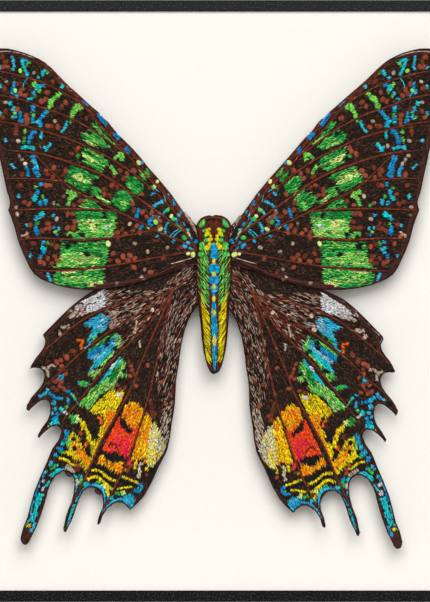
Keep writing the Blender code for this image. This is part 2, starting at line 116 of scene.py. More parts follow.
# How much further than the overhang the stitches reach, by side: along a forewing's front as (out, more), and along a
# hindwing's outer edge as (up, more)
FOREWING_SWELL = {
    -1: [(32, -0.25), (36, 0.1), (38, 0.4), (43, 0.55), (48, 0.35), (52, 0.5), (55, 0.8), (60, 0.7), (64, 0.7),
         (70, 1.1), (76, 1.05), (82, 0.8), (87, 0.4), (91, 0.0), (96, -0.2), (120, -0.2)],
    1: [(28, -0.25), (35, -0.2), (40, 0.1), (46, 0.7), (51, 0.6), (54, 1.2), (57, 0.8), (62, 0.7), (68, 0.9),
        (74, 0.9), (78, 0.4), (84, -0.1), (90, -0.2), (120, -0.25)],
}
HINDWING_SWELL = {
    -1: [(-90, -0.2), (-80, -0.2), (-66, -0.15), (-60, 0.0), (10, 0.0)],
    1: [(-90, -0.25), (-68, -0.25), (-60, 0.0), (-36, 0.2), (-33, 0.6), (-22, 0.6), (-18, 0.9), (0, 0.9), (4, 0.0)],
}
THIN_MARK = 0.95         # a narrower mark is one row of strands
FOREWING_ROOT_LINE = [(14.0, 43.8), (12.2, 41.1), (9.5, 36.4), (6.9, 31.5)]
FOREWING_TIP_LINE = [
    (117.0, 124.6), (108.3, 126.2), (103.2, 126.3), (98.2, 125.4), (93.1, 123.8), (90.8, 123.0),
]
HINDWING_VEINS = [
    [(90.1, -29.7), (85.5, -24.9), (72.9, -14.3), (62.7, -7.4), (52.6, -3.1), (42.5, 0.3), (32.3, 2.2),
     (23.7, 4.2), (11.0, 13.3)],
    [(91.1, -48.5), (87.0, -43.7), (80.3, -38.5), (67.8, -26.8), (54.1, -16.3), (37.9, -6.2), (27.3, 1.3),
     (21.4, 5.9)],
    [(76.7, -60.9), (66.3, -48.0), (54.6, -33.4), (42.5, -21.0), (33.8, -12.8), (28.8, -6.2), (20.7, 5.5)],
    [(58.6, -111.8), (56.7, -106.2), (54.0, -102.2), (51.5, -97.0), (50.3, -94.6), (43.6, -80.6), (36.2, -59.1), (28.8, -30.8), (24.5, -10.0), (20.7, 5.2)],
]
HINDWING_MAIN_VEIN = [
    (75.6, -115.5), (74.9, -110.5), (73.4, -105.6), (70.3, -99.8), (68.0, -95.4), (65.0, -89.5), (61.7, -81.6), (55.9, -68.8), (43.2, -47.0), (37.9, -33.8),
    (29.3, -13.9), (20.2, 5.9),
]
HINDWING_TAIL_LINE = [
    (95.4, -119.5), (92.0, -109.0), (87.6, -96.0), (80.0, -79.0), (76.0, -68.0),
]
# Markings of the left wings. A patch has its palette and outline, a column its palette, width and route,
# and a row of knots its palette, radius and middles.
FOREWING_EDGE_PATCHES = [
    ("azure", [(59.5, 95), (58, 95.5), (55, 92), (53.5, 89.5), (54.5, 88), (56.5, 90), (58.5, 93)]),
    ("azure", [(51.5, 84.5), (49, 86.5), (47, 83), (48.5, 81)]),
]
FOREWING_PATCHES = [
    ("azure", [(66.5, 101), (65.5, 101.5), (63, 99), (63.5, 98)]),
    ("azure", [(45, 77), (43.5, 78), (42.5, 77), (43, 75), (44, 74.5)]),
    ("green", [(35.5, 66), (34, 67), (32, 64.5), (32.5, 63), (34.5, 64)]),
    ("leaf", [(62, 90), (60, 91), (57, 88), (54, 84.5), (54.5, 82.5), (57, 83.5), (59.5, 86.5)]),
    ("leaf", [
        (67, 84.5), (62.5, 86.5), (58, 83.5), (55, 81), (55.5, 76.5), (58.5, 77.5), (63.5, 79.5), (67, 82),
    ]),
    ("leaf light", [(64.5, 81.5), (61.5, 80.5), (59, 78.5), (61.5, 78.5), (64.5, 80)]),
    ("ink", [(63.5, 85.5), (61.5, 85.5), (62, 83.5), (63.5, 84.5)]),
    ("leaf", [
        (66.5, 78), (61.5, 76.5), (55.5, 73), (53.5, 70), (55.5, 67.5), (57.5, 65.5), (61.5, 67.5),
        (66.5, 70.5),
    ]),
    ("straw", [(66, 74.5), (64, 74), (61.5, 72), (59, 71), (59.5, 70), (62.5, 70.5), (65.5, 72.5)]),
    ("ink", [(68.5, 72.5), (66, 73), (65.5, 71.5), (67.5, 71)]),
    ("leaf", [(37.5, 66), (35.5, 64.5), (33.5, 61.5), (35, 60.5), (37, 63)]),
    ("leaf", [
        (43.5, 63), (39.5, 62.5), (36, 59), (36.5, 55.5), (38.5, 53.5), (42, 55.5), (44.5, 58.5), (43.5, 61),
    ]),
    ("dark leaf", [(42.5, 61.5), (39, 60.5), (37.5, 58), (40.5, 58), (42.5, 59.5)]),
    ("ink", [(36.5, 58), (34, 57), (33, 55.5), (35, 55.5)]),
    ("leaf", [
        (71.5, 68.5), (67.5, 67), (58, 63), (62.5, 61), (62.5, 57), (66, 55), (71, 58), (75, 60.5), (73.5, 65),
    ]),
    ("straw", [(71.5, 63.5), (67, 64.5), (66, 62), (63.5, 61), (64.5, 59.5), (69, 61)]),
    ("green", [(61.5, 58), (59, 57.5), (56.5, 55.5), (59, 54.5), (62, 52.5), (62.5, 54), (61, 56)]),
    ("leaf light", [(60, 53.5), (57.5, 53), (55.5, 51.5), (52, 50), (54, 49), (57.5, 51)]),
    ("leaf", [
        (51.5, 52), (48, 55.5), (45, 56.5), (42, 54), (41, 51), (43.5, 47), (45.5, 45), (49, 47.5), (51.5, 50),
    ]),
    ("dark leaf", [(48.5, 53.5), (45, 55), (44, 52.5), (47, 51), (49.5, 51.5)]),
    ("leaf light", [(47, 50), (43.5, 50), (45.5, 46.5), (48, 48)]),
    ("leaf", [(68, 47.5), (64.5, 52), (61.5, 51), (57, 47.5), (58, 46), (63.5, 46.5)]),
    ("ink", [(57.5, 48), (55.5, 48), (55, 46.5), (57, 46.5)]),
    ("dark leaf", [
        (70.5, 45.5), (49, 45), (49.5, 42.5), (52.5, 40), (57.5, 40.5), (62.5, 40), (68, 40.5), (69.5, 43),
    ]),
    ("leaf light", [
        (69, 41), (62.5, 41.5), (55.5, 41.5), (49.5, 42.5), (50, 37), (51.5, 32.5), (58.5, 32), (70.5, 31.5),
        (71.5, 33.5), (68, 35.5),
    ]),
    ("straw", [(63.5, 41), (60.5, 41), (59.5, 37.5), (60.5, 35), (63, 36.5)]),
    ("white", [(56, 37), (53, 39), (52.5, 38), (55, 36)]),
    ("ink", [(56.5, 45), (54.5, 44.5), (54.5, 41.5), (56, 42)]),
    ("ink", [(68.5, 34.5), (66, 35), (65.5, 32.5), (68, 32)]),
    ("leaf", [
        (77, 30.5), (71.5, 29.5), (55.5, 30.5), (54, 27), (54.5, 20.5), (55.5, 18), (67.5, 17), (81.5, 16.5),
        (78, 20), (77, 24.5),
    ]),
    ("leaf light", [(77, 24), (68, 25), (57.5, 22), (58.5, 19), (73, 17.5), (80, 17), (77.5, 20)]),
    ("dark leaf", [(60.5, 25), (57.5, 25.5), (56.5, 22.5), (59.5, 22), (61, 23)]),
    ("ink", [(75.5, 29), (72, 29.5), (72.5, 27.5), (74, 26), (75.5, 27.5)]),
    ("ink", [(66, 24.5), (62.5, 25), (62.5, 23), (64, 22)]),
    ("leaf", [(80.5, 14.5), (77, 15.5), (55.5, 16.5), (55.5, 9.5), (57.5, 8), (67, 6.5), (75, 7.5), (80.5, 9)]),
    ("leaf light", [(77, 11.5), (68, 13), (59.5, 11.5), (61.5, 9.5), (72, 8.5), (76.5, 9.5)]),
    ("straw", [(77.5, 15), (70.5, 15.5), (70.5, 14), (77, 13.5)]),
    ("straw", [(63.5, 9), (57, 10.5), (56.5, 8.5), (62.5, 7)]),
    ("ink", [(40, 33), (36, 32.5), (34.5, 31.5), (38, 31)]),
    ("ink", [(28, 19.5), (24.5, 19.5), (24.5, 18), (27.5, 17.5)]),
    ("ink", [(19, 24), (15, 25), (14.5, 23), (18, 22)]),
    ("ink", [(55.5, 76.5), (53.5, 76.5), (50.5, 74.5), (51.5, 73.5), (54.5, 74.5)]),
    ("ink", [(44, 65.5), (42, 65), (42, 63), (43.5, 63.5)]),
    ("ink", [(70.5, 94), (68.5, 93.5), (68.5, 92.5), (70.5, 92.5)]),
]
FOREWING_COLUMNS = [
    ("sky", 1.5, [(102, 124), (101.5, 121.5), (101.5, 120), (101, 118.5), (102, 117)]),
    ("cyan", 2, [(97.5, 122.5), (96.5, 119.5), (95.5, 117), (94, 114)]),
    ("blue", 1.5, [(96.5, 122.5), (94, 121)]),
    ("green", 1.5, [(92.5, 120.5), (94, 120.5), (95, 118.5)]),
    ("cyan", 1.8, [(86.5, 117), (86.5, 114)]),
    ("sky", 1.5, [(86, 117), (85, 116)]),
    ("sky", 1.3, [(89.5, 113.5), (88, 112.5)]),
    ("green", 1.5, [(84.5, 116), (83.5, 115)]),
    ("cyan", 2, [(77.5, 109), (76, 108)]),
    ("sky", 1.3, [(108.5, 119), (107.5, 117.5)]),
    ("sky", 1.5, [(108.5, 109.5), (107.5, 108)]),
    ("blue", 2, [(101.5, 111), (101, 108), (102.5, 105)]),
    ("lime", 1.5, [(100.5, 107), (100, 106)]),
    ("blue", 1.5, [(100.5, 105), (99, 103.5)]),
    ("sky", 0.9, [(94.5, 112.5), (96, 110.5), (96.5, 108.5)]),
    ("lime", 2.3, [(91.5, 110.5), (90, 108.5)]),
    ("cyan", 2.3, [(88.5, 109.5), (89.5, 106.5)]),
    ("blue", 1.5, [(88, 109.5), (86, 109)]),
    ("green", 1.8, [(87.5, 107), (89, 105.5)]),
    ("sky", 1.8, [(91.5, 106), (91, 104)]),
    ("green", 1.5, [(91, 104.5), (90, 103)]),
    ("blue", 1.3, [(94.5, 102), (92.5, 103), (92, 102)]),
    ("lime", 2.5, [(77.5, 105.5), (79.5, 103.5), (81.5, 102), (83, 100.5), (82, 99), (84, 98)]),
    ("lime", 2.3, [(67, 97), (68.5, 99.5), (70.5, 96.5), (71.5, 94.5), (72, 92.5)]),
    ("sky", 1.5, [(108.5, 96), (107.5, 94.5)]),
    ("cyan", 1.8, [(103.5, 101), (103, 99)]),
    ("sky", 1.8, [(101, 98.5), (101.5, 96)]),
    ("green", 1.5, [(101.5, 95), (99.5, 95.5)]),
    ("lime", 1.8, [(102, 93.5), (102.5, 92.5)]),
    ("blue", 1.8, [(101, 94.5), (100, 92.5)]),
    ("blue", 1.5, [(98, 96), (98, 93), (98.5, 90.5)]),
    ("blue", 1.3, [(97, 92), (97, 90)]),
    ("blue", 2.3, [(91.5, 99), (91.5, 95.5)]),
    ("green", 2, [(91, 95), (91.5, 93)]),
    ("blue", 2.3, [(91.5, 93), (91.5, 91.5)]),
    ("cyan", 1.8, [(91.5, 91), (91.5, 90)]),
    ("cyan", 1.5, [(89.5, 91.5), (89, 90)]),
    ("blue", 2.3, [(84, 97), (85.5, 95), (87, 93), (88, 91.5), (87.5, 88)]),
    ("cyan", 1.3, [(74, 91), (75, 89), (75.5, 87.5), (77.5, 85.5)]),
    ("green", 1.5, [(73, 91.5), (72, 90.5)]),
    ("green", 1.3, [(56, 80.5), (54.5, 78), (52.5, 78.5)]),
    ("lime", 2, [(50.5, 72), (49, 73), (47.5, 74.5), (46, 73.5), (47, 71)]),
    ("lime", 1.3, [(55.5, 83), (52.5, 81), (50, 79)]),
    ("green", 2.5, [(31.5, 56.5), (31, 58)]),
    ("sky", 1.5, [(106, 82), (105, 80.5)]),
    ("lime", 1.8, [(96, 86.5), (95, 85)]),
    ("green", 1.5, [(95.5, 83), (96.5, 79.5)]),
    ("blue", 2.3, [(89.5, 86), (92, 85), (93, 82.5), (94, 79.5)]),
    ("cyan", 1.8, [(97.5, 77.5), (94, 78), (90.5, 77)]),
    ("cyan", 1.5, [(87, 86), (87.5, 82)]),
    ("cyan", 1.8, [(82.5, 80), (83.5, 78.5), (84.5, 77.5), (85, 75.5)]),
    ("cyan", 1.3, [(86.5, 78), (85, 77.5)]),
    ("green", 1.8, [(69.5, 74), (68, 73)]),
    ("lime", 2, [(52.5, 68.5), (51, 66.5), (49.5, 64)]),
    ("sky", 1.3, [(103, 69.5), (100.5, 67)]),
    ("blue", 1.8, [(95.5, 68), (94, 66), (94, 63)]),
    ("blue", 3, [(91.5, 74), (91, 71), (90, 68.5), (90, 66), (88.5, 62.5)]),
    ("lime", 1.3, [(59.5, 53.5), (57, 52.5)]),
    ("blue", 1.5, [(38, 47), (38.5, 44.5), (39.5, 42)]),
    ("sky", 1, [(32, 45), (31, 46)]),
    ("sky", 1, [(28.5, 42), (27.5, 43)]),
    ("blue", 1.5, [(30.5, 43.5), (31.5, 41.5), (33, 39.5), (31, 38)]),
    ("sky", 1.8, [(99.5, 53.5), (98, 52.5)]),
    ("blue", 2, [(87.5, 60), (87.5, 58)]),
    ("green", 2, [(91, 58), (90, 57)]),
    ("blue", 2, [(89, 56.5), (89.5, 54)]),
    ("cyan", 2.3, [(89.5, 53.5), (91.5, 51)]),
    ("blue", 2, [(88.5, 50.5), (87.5, 48.5)]),
    ("green", 1.8, [(87, 53.5), (86, 52)]),
    ("blue", 1.8, [(85.5, 51.5), (85, 48.5)]),
    ("green", 1.5, [(79.5, 49), (78.5, 48)]),
    ("lime", 2.3, [(74.5, 55.5), (71.5, 54.5), (70, 53.5), (72, 52.5), (73, 51), (74, 48)]),
    ("blue", 2, [(86.5, 45.5), (87, 44)]),
    ("cyan", 2.3, [(86, 44.5), (88, 43), (90, 42)]),
    ("blue", 1.8, [(90.5, 42), (89.5, 41)]),
    ("green", 2, [(89.5, 40), (89, 38.5)]),
    ("blue", 2.3, [(90, 38), (90, 36), (89, 33.5)]),
    ("blue", 1.5, [(81.5, 44), (81, 42.5)]),
    ("sky", 1.5, [(95, 39), (94.5, 37.5)]),
    ("beige", 1.3, [(97.5, 33), (95.5, 33.5), (94, 35)]),
    ("blue", 1.5, [(81, 38), (81, 36.5)]),
    ("cyan", 1.5, [(79, 37), (78, 36.5)]),
    ("lime", 1.8, [(80.5, 35.5), (80, 34.5)]),
    ("blue", 1.5, [(79.5, 34), (79, 33)]),
    ("lime", 1.8, [(74.5, 33.5), (73, 34.5), (71, 34)]),
    ("blue", 1.8, [(37.5, 36), (37, 37.5), (35.5, 38)]),
    ("lime", 1, [(34, 38), (32.5, 36.5)]),
    ("blue", 1.5, [(86.5, 30.5), (86, 29)]),
    ("green", 1.8, [(84.5, 30), (83.5, 28.5)]),
    ("cyan", 1.8, [(87.5, 27), (84.5, 26)]),
    ("blue", 1.8, [(86, 25.5), (86.5, 24)]),
    ("blue", 1.8, [(87.5, 23.5), (88, 21.5)]),
    ("sky", 1.5, [(93.5, 23.5), (92.5, 22.5)]),
    ("sky", 1.3, [(29.5, 32.5), (28, 33)]),
    ("rust", 1.3, [(31, 31), (28.5, 30.5), (27.5, 31.5)]),
    ("rust", 2, [(100, 90), (100, 87), (100.5, 83.5)]),
    ("sky", 1.5, [(84.5, 14), (83.5, 12.5), (82.5, 10)]),
    ("beige", 1.6, [
        (37, 12.5), (35.5, 11), (33.5, 10), (31.5, 9.5), (29.5, 11), (27.5, 10), (25, 9), (23.5, 8.5),
    ]),
    ("beige", 0.9, [(21, 19), (17, 20), (12, 21.5)]),
    ("sky", 0.8, [(30, 57), (28, 55.5)]),
    ("sky", 1.1, [(22.5, 55), (23, 53.5)]),
    ("sky", 0.8, [(25, 53), (24.5, 51)]),
    ("sky", 1, [(32, 53.5), (29.5, 55)]),
    ("sky", 1.5, [(30.5, 47.5), (29, 49), (25.5, 50.5)]),
    ("blue", 1.8, [(20, 52.5), (20, 48.5)]),
    ("blue", 1.8, [(16.5, 48), (16, 44.5)]),
    ("sky", 1.3, [(18.5, 44.5), (17, 42.5)]),
    ("sky", 1.1, [(26, 44), (24.5, 45.5)]),
    ("sky", 1, [(23.5, 46.5), (22.5, 47.5)]),
    ("green", 1.5, [(21, 42), (19.5, 41)]),
    ("blue", 1.3, [(19.5, 42), (18.5, 39)]),
    ("green", 1.3, [(18.5, 38.5), (16, 36)]),
    ("sky", 1.1, [(23, 40), (24.5, 37), (24.5, 34)]),
    ("sky", 0.7, [(17.5, 36.5), (20, 35), (22, 33)]),
    ("sky", 0.7, [(17, 35.5), (18.5, 34.5), (20.5, 32.5)]),
    ("ink", 1.8, [(22.5, 37.5), (21.5, 35.5)]),
    ("ink", 1.5, [(18, 34), (17, 32.5)]),
    ("blue", 1.3, [(15.5, 40), (14.5, 38)]),
    ("blue", 1.3, [(12.5, 32.5), (11, 31)]),
    ("blue", 1.3, [(21, 29.5), (20, 31)]),
    ("blue", 1.3, [(16.5, 27.5), (15, 29)]),
    ("sky", 1, [(14, 36.5), (12.5, 36)]),
    ("blue", 1.3, [(10, 29.5), (8.5, 30.5), (7, 31)]),
    ("blue", 1.1, [(9.5, 31), (7, 29.5)]),
    ("sky", 1, [(12.5, 27), (10, 25.5)]),
    ("straw", 1.3, [(13.5, 35.5), (12, 33)]),
    ("rust", 1.5, [(18.5, 26.5), (15.5, 27.5)]),
    ("sky", 1, [(28, 35), (26.5, 36)]),
]
FOREWING_KNOTS = [
    ("rust", 1.3, [
        (107, 123.5), (105.5, 121), (104.5, 118.5), (106.5, 118.5), (81.5, 111), (106, 107.5), (99.5, 110),
        (97, 107), (98, 105), (95.5, 104), (84.5, 105.5), (87.5, 101), (85.5, 102), (77, 98.5), (75, 100.5),
        (64.5, 92.5), (107, 93), (105.5, 96), (99.5, 97), (95, 94), (94.5, 92), (94.5, 90), (84, 88.5),
        (82.5, 88.5), (79, 88), (40.5, 66), (68.5, 77.5), (72, 74.5), (69.5, 76), (47.5, 66), (50.5, 63),
        (45.5, 62), (44, 64.5), (36.5, 54), (97, 64), (85, 66), (84, 64), (81.5, 62.5), (81, 67.5),
        (76.5, 63.5), (75, 66), (55.5, 54), (53, 53.5), (51.5, 58.5), (49, 57.5), (55.5, 56.5), (41, 49.5),
        (40.5, 46), (36, 45), (34, 42.5), (31.5, 44.5), (29.5, 42.5), (27.5, 40.5), (27.5, 37.5), (98, 58.5),
        (92.5, 54), (96, 50), (93.5, 49), (83, 58.5), (85, 58.5), (71, 48.5), (67.5, 50.5), (93, 38.5),
        (94.5, 32.5), (74, 44), (71.5, 44), (70.5, 40), (74, 37), (71, 37), (84, 39), (85, 36.5), (87, 35.5),
        (83, 37), (49, 34.5), (48.5, 32.5), (46.5, 36), (44.5, 34), (41, 35.5), (39, 38), (37.5, 34.5),
        (91.5, 29), (82, 28.5), (79.5, 27.5), (84, 21.5), (88, 20), (86, 19), (80.5, 22.5), (79.5, 20.5),
        (82, 19), (51, 24), (52.5, 20.5), (48.5, 20), (46, 22.5), (43.5, 20.5), (42.5, 23), (40, 21.5),
        (40.5, 17), (32, 14.5), (25.5, 21.5), (111, 122.5), (112.5, 119), (110.5, 106.5), (113, 108),
        (111.5, 92), (110, 87),
    ]),
    ("taupe", 1, [
        (91, 115.5), (105, 111), (80.5, 91), (99, 81), (88, 78.5), (98.5, 73.5), (97, 71.5), (95.5, 69.5),
        (76, 53), (81, 49.5), (79.5, 41.5), (42.5, 39), (40, 29), (33.5, 25), (23.5, 27), (35, 16), (49, 9),
        (100, 47.5), (99.5, 44), (105.5, 100.5),
    ]),
    ("straw", 1.3, [(38, 70), (53.5, 29), (27, 36.5)]),
    ("straw", 1, [(28.5, 60.5), (30, 58), (21.5, 43), (13, 24)]),
    ("straw", 1.4, [(10.5, 23.5)]),
    ("lime", 1.1, [(98, 116.5), (100.5, 106.5)]),
    ("green", 1.2, [(29.5, 40), (23.5, 46), (20.5, 41.5), (15, 32)]),
    ("blue", 1, [(36.5, 70), (14.5, 27.5), (13, 29.5)]),
]
HINDWING_PATCHES = [
    ("white", [
        (55.5, 6), (58.5, 4.5), (61.5, 2.5), (67.5, -0.5), (66, -3.5), (65.5, -6.5), (61, -5.5), (56, -3),
        (55.5, 0.5),
    ]),
    ("frost", [(70, -2.5), (67, -1), (64.5, -3.5), (64.5, -6.5), (68.5, -8), (71.5, -6.5)]),
    ("sky", [
        (58, -6.5), (53.5, -8.5), (54, -12.5), (56, -15.5), (58.5, -18), (61, -20), (63.5, -22), (63.5, -19.5),
        (62, -16), (61.5, -13.5), (66, -11.5), (63.5, -10), (59.5, -7.5),
    ]),
    ("frost sky", [(56, -6.5), (53.5, -8.5), (54, -12.5), (57.5, -15), (59, -13.5), (56.5, -11)]),
    ("leaf", [(55.5, -14.5), (57.5, -17.5), (61.5, -20), (62.5, -19), (59, -16.5)]),
    ("leaf", [
        (64, -25), (59.5, -22), (55, -18.5), (49, -16), (48.5, -17.5), (53.5, -20), (58, -23), (62.5, -26.5),
    ]),
    ("blue", [
        (63.5, -26), (58, -23), (53.5, -20.5), (49, -17), (48, -18.5), (52.5, -21.5), (57, -25), (62.5, -29),
        (64, -28),
    ]),
    ("frost sky", [(62, -28.5), (57, -25.5), (52, -21.5), (50, -20.5), (51, -23), (55.5, -26.5), (60, -31)]),
    ("cyan", [
        (60, -31), (55.5, -26.5), (51, -22.5), (48, -20), (48, -22), (52.5, -27), (57.5, -32), (62, -35.5),
        (63, -34.5),
    ]),
    ("leaf light", [
        (49.5, -16.5), (46.5, -20.5), (47.5, -23.5), (50.5, -27), (53.5, -29.5), (57.5, -35.5), (60.5, -39.5),
        (63.5, -36.5), (59.5, -34), (54.5, -29), (49, -23),
    ]),
    ("cyan", [
        (47.5, -28), (50, -31.5), (53.5, -35.5), (58, -41), (56, -40.5), (52.5, -37.5), (49, -33.5), (47, -30),
    ]),
    ("white", [(51, -31.5), (49.5, -31), (51, -34), (52.5, -34)]),
    ("leaf light", [
        (49, -33.5), (48.5, -38.5), (50.5, -44), (54, -45.5), (58, -47.5), (60, -51), (62.5, -54.5),
        (65.5, -53.5), (68.5, -52), (66, -49.5), (64, -47.5), (62.5, -45), (58, -42), (53, -38.5),
    ]),
    ("dark leaf", [(51, -34), (49, -33), (48.5, -37.5), (51.5, -41.5), (53.5, -41)]),
    ("leaf light", [(47, -29.5), (44.5, -31.5), (45, -34), (44, -38.5), (47, -39), (48, -36), (48, -32.5)]),
    ("gold", [
        (56.5, -49), (54, -46.5), (51.5, -45.5), (48.5, -46), (45, -46), (46.5, -50), (48.5, -53.5), (50, -57),
        (52.5, -56), (55.5, -57.5), (58.5, -57), (62.5, -55.5), (61, -53),
    ]),
    ("orange", [
        (49.5, -56.5), (52, -61), (54, -65), (57, -71.5), (60.5, -79), (62, -78), (61, -73), (59, -69),
        (57, -65.5), (55.5, -62.5), (55.5, -57.5), (52.5, -55),
    ]),
    ("gold", [
        (57.5, -64), (55, -62.5), (55.5, -65.5), (58.5, -71), (61, -78), (62.5, -76.5), (62, -72), (59.5, -69),
    ]),
    ("gold", [
        (72.5, -67), (69, -69), (66.5, -73.5), (65, -76), (61.5, -79.5), (62, -82), (64.5, -86), (67, -83),
        (70, -80), (76, -77), (73.5, -72.5), (74, -69),
    ]),
    ("orange", [(71.5, -71), (68.5, -73.5), (64.5, -78), (62, -79.5), (63, -83.5), (66, -81.5), (69.5, -77)]),
    ("amber", [
        (45, -53), (41.5, -50.5), (38.5, -52.5), (35.5, -56), (37, -60.5), (39.5, -64), (43, -62), (47, -59),
    ]),
    ("orange", [(45, -54), (40.5, -53), (37, -57), (38, -61.5), (40.5, -65), (44, -62), (47, -59.5)]),
    ("red", [
        (48, -58.5), (46, -60), (41.5, -65), (38, -63.5), (40.5, -72), (43, -79), (46, -79), (48, -76.5),
        (51.5, -76.5), (56.5, -76), (54.5, -71), (51, -64.5),
    ]),
    ("magenta", [
        (49, -69), (44.5, -68), (42.5, -71), (43.5, -76.5), (45, -80), (46.5, -78.5), (47, -74), (50.5, -71.5),
    ]),
    ("magenta", [(43.5, -80), (41.5, -81), (42.5, -83.5), (44, -82.5)]),
    ("orange", [
        (58, -78.5), (55.5, -78), (51.5, -81.5), (45.5, -81), (47, -87), (49.5, -86.5), (54, -84), (59, -82.5),
    ]),
    ("ink", [
        (56, -77), (55.5, -79), (54, -81), (51, -82), (48, -81.5), (45.5, -80), (45.5, -78), (47.5, -78.5),
        (49.5, -78.5), (51.5, -77), (54, -77.5),
    ]),
    ("amber", [
        (35, -58), (33, -60.5), (32.5, -70.5), (34, -78.5), (39, -81), (42, -80.5), (40, -73.5), (37, -64),
    ]),
    ("amber", [
        (34.5, -57), (32, -60), (31, -65), (32.5, -73), (32.5, -81.5), (35.5, -81.5), (35, -70.5),
        (35.5, -62.5),
    ]),
    ("frost gold", [
        (32, -62), (29.5, -62.5), (27, -68), (25, -74), (27, -79), (30, -83), (33.5, -83.5), (34, -78),
        (33, -70.5),
    ]),
    ("pearl", [(28.5, -66.5), (25.5, -71), (24.5, -74.5), (27, -79), (29, -80.5), (29, -73.5)]),
    ("ink", [(30, -83.5), (33, -85.5), (34, -94), (32, -93.5), (27.5, -82)]),
    ("ink", [(62, -65.5), (59.5, -65), (58.5, -67.5), (58, -69.5), (59.5, -70.5), (61.5, -68)]),
    ("ink", [(65.5, -74.5), (64, -74), (63, -76.5), (61.5, -78.5), (62.5, -79.5), (64.5, -78)]),
    ("flame", [(65.5, -72), (64, -71.5), (64, -73.5), (65.5, -74)]),
    ("sky", [(78, -37), (79.5, -39.5), (76.5, -40.5), (76.5, -38)]),
    ("blue", [(75.5, -65.5), (73, -66.5), (74, -71.5), (76, -70.5)]),
    ("green", [(73.5, -58), (71.5, -57.5), (69, -59), (70.5, -62), (72.5, -60.5)]),
    ("straw", [(70, -58), (68, -58.5), (67.5, -61), (69.5, -62)]),
    ("gold", [(68, -60.5), (66, -61.5), (64.5, -65), (67, -64.5)]),
    ("sky", [(46.5, -98), (44, -98.5), (42, -98), (39.5, -101), (42, -105), (44, -102)]),
]
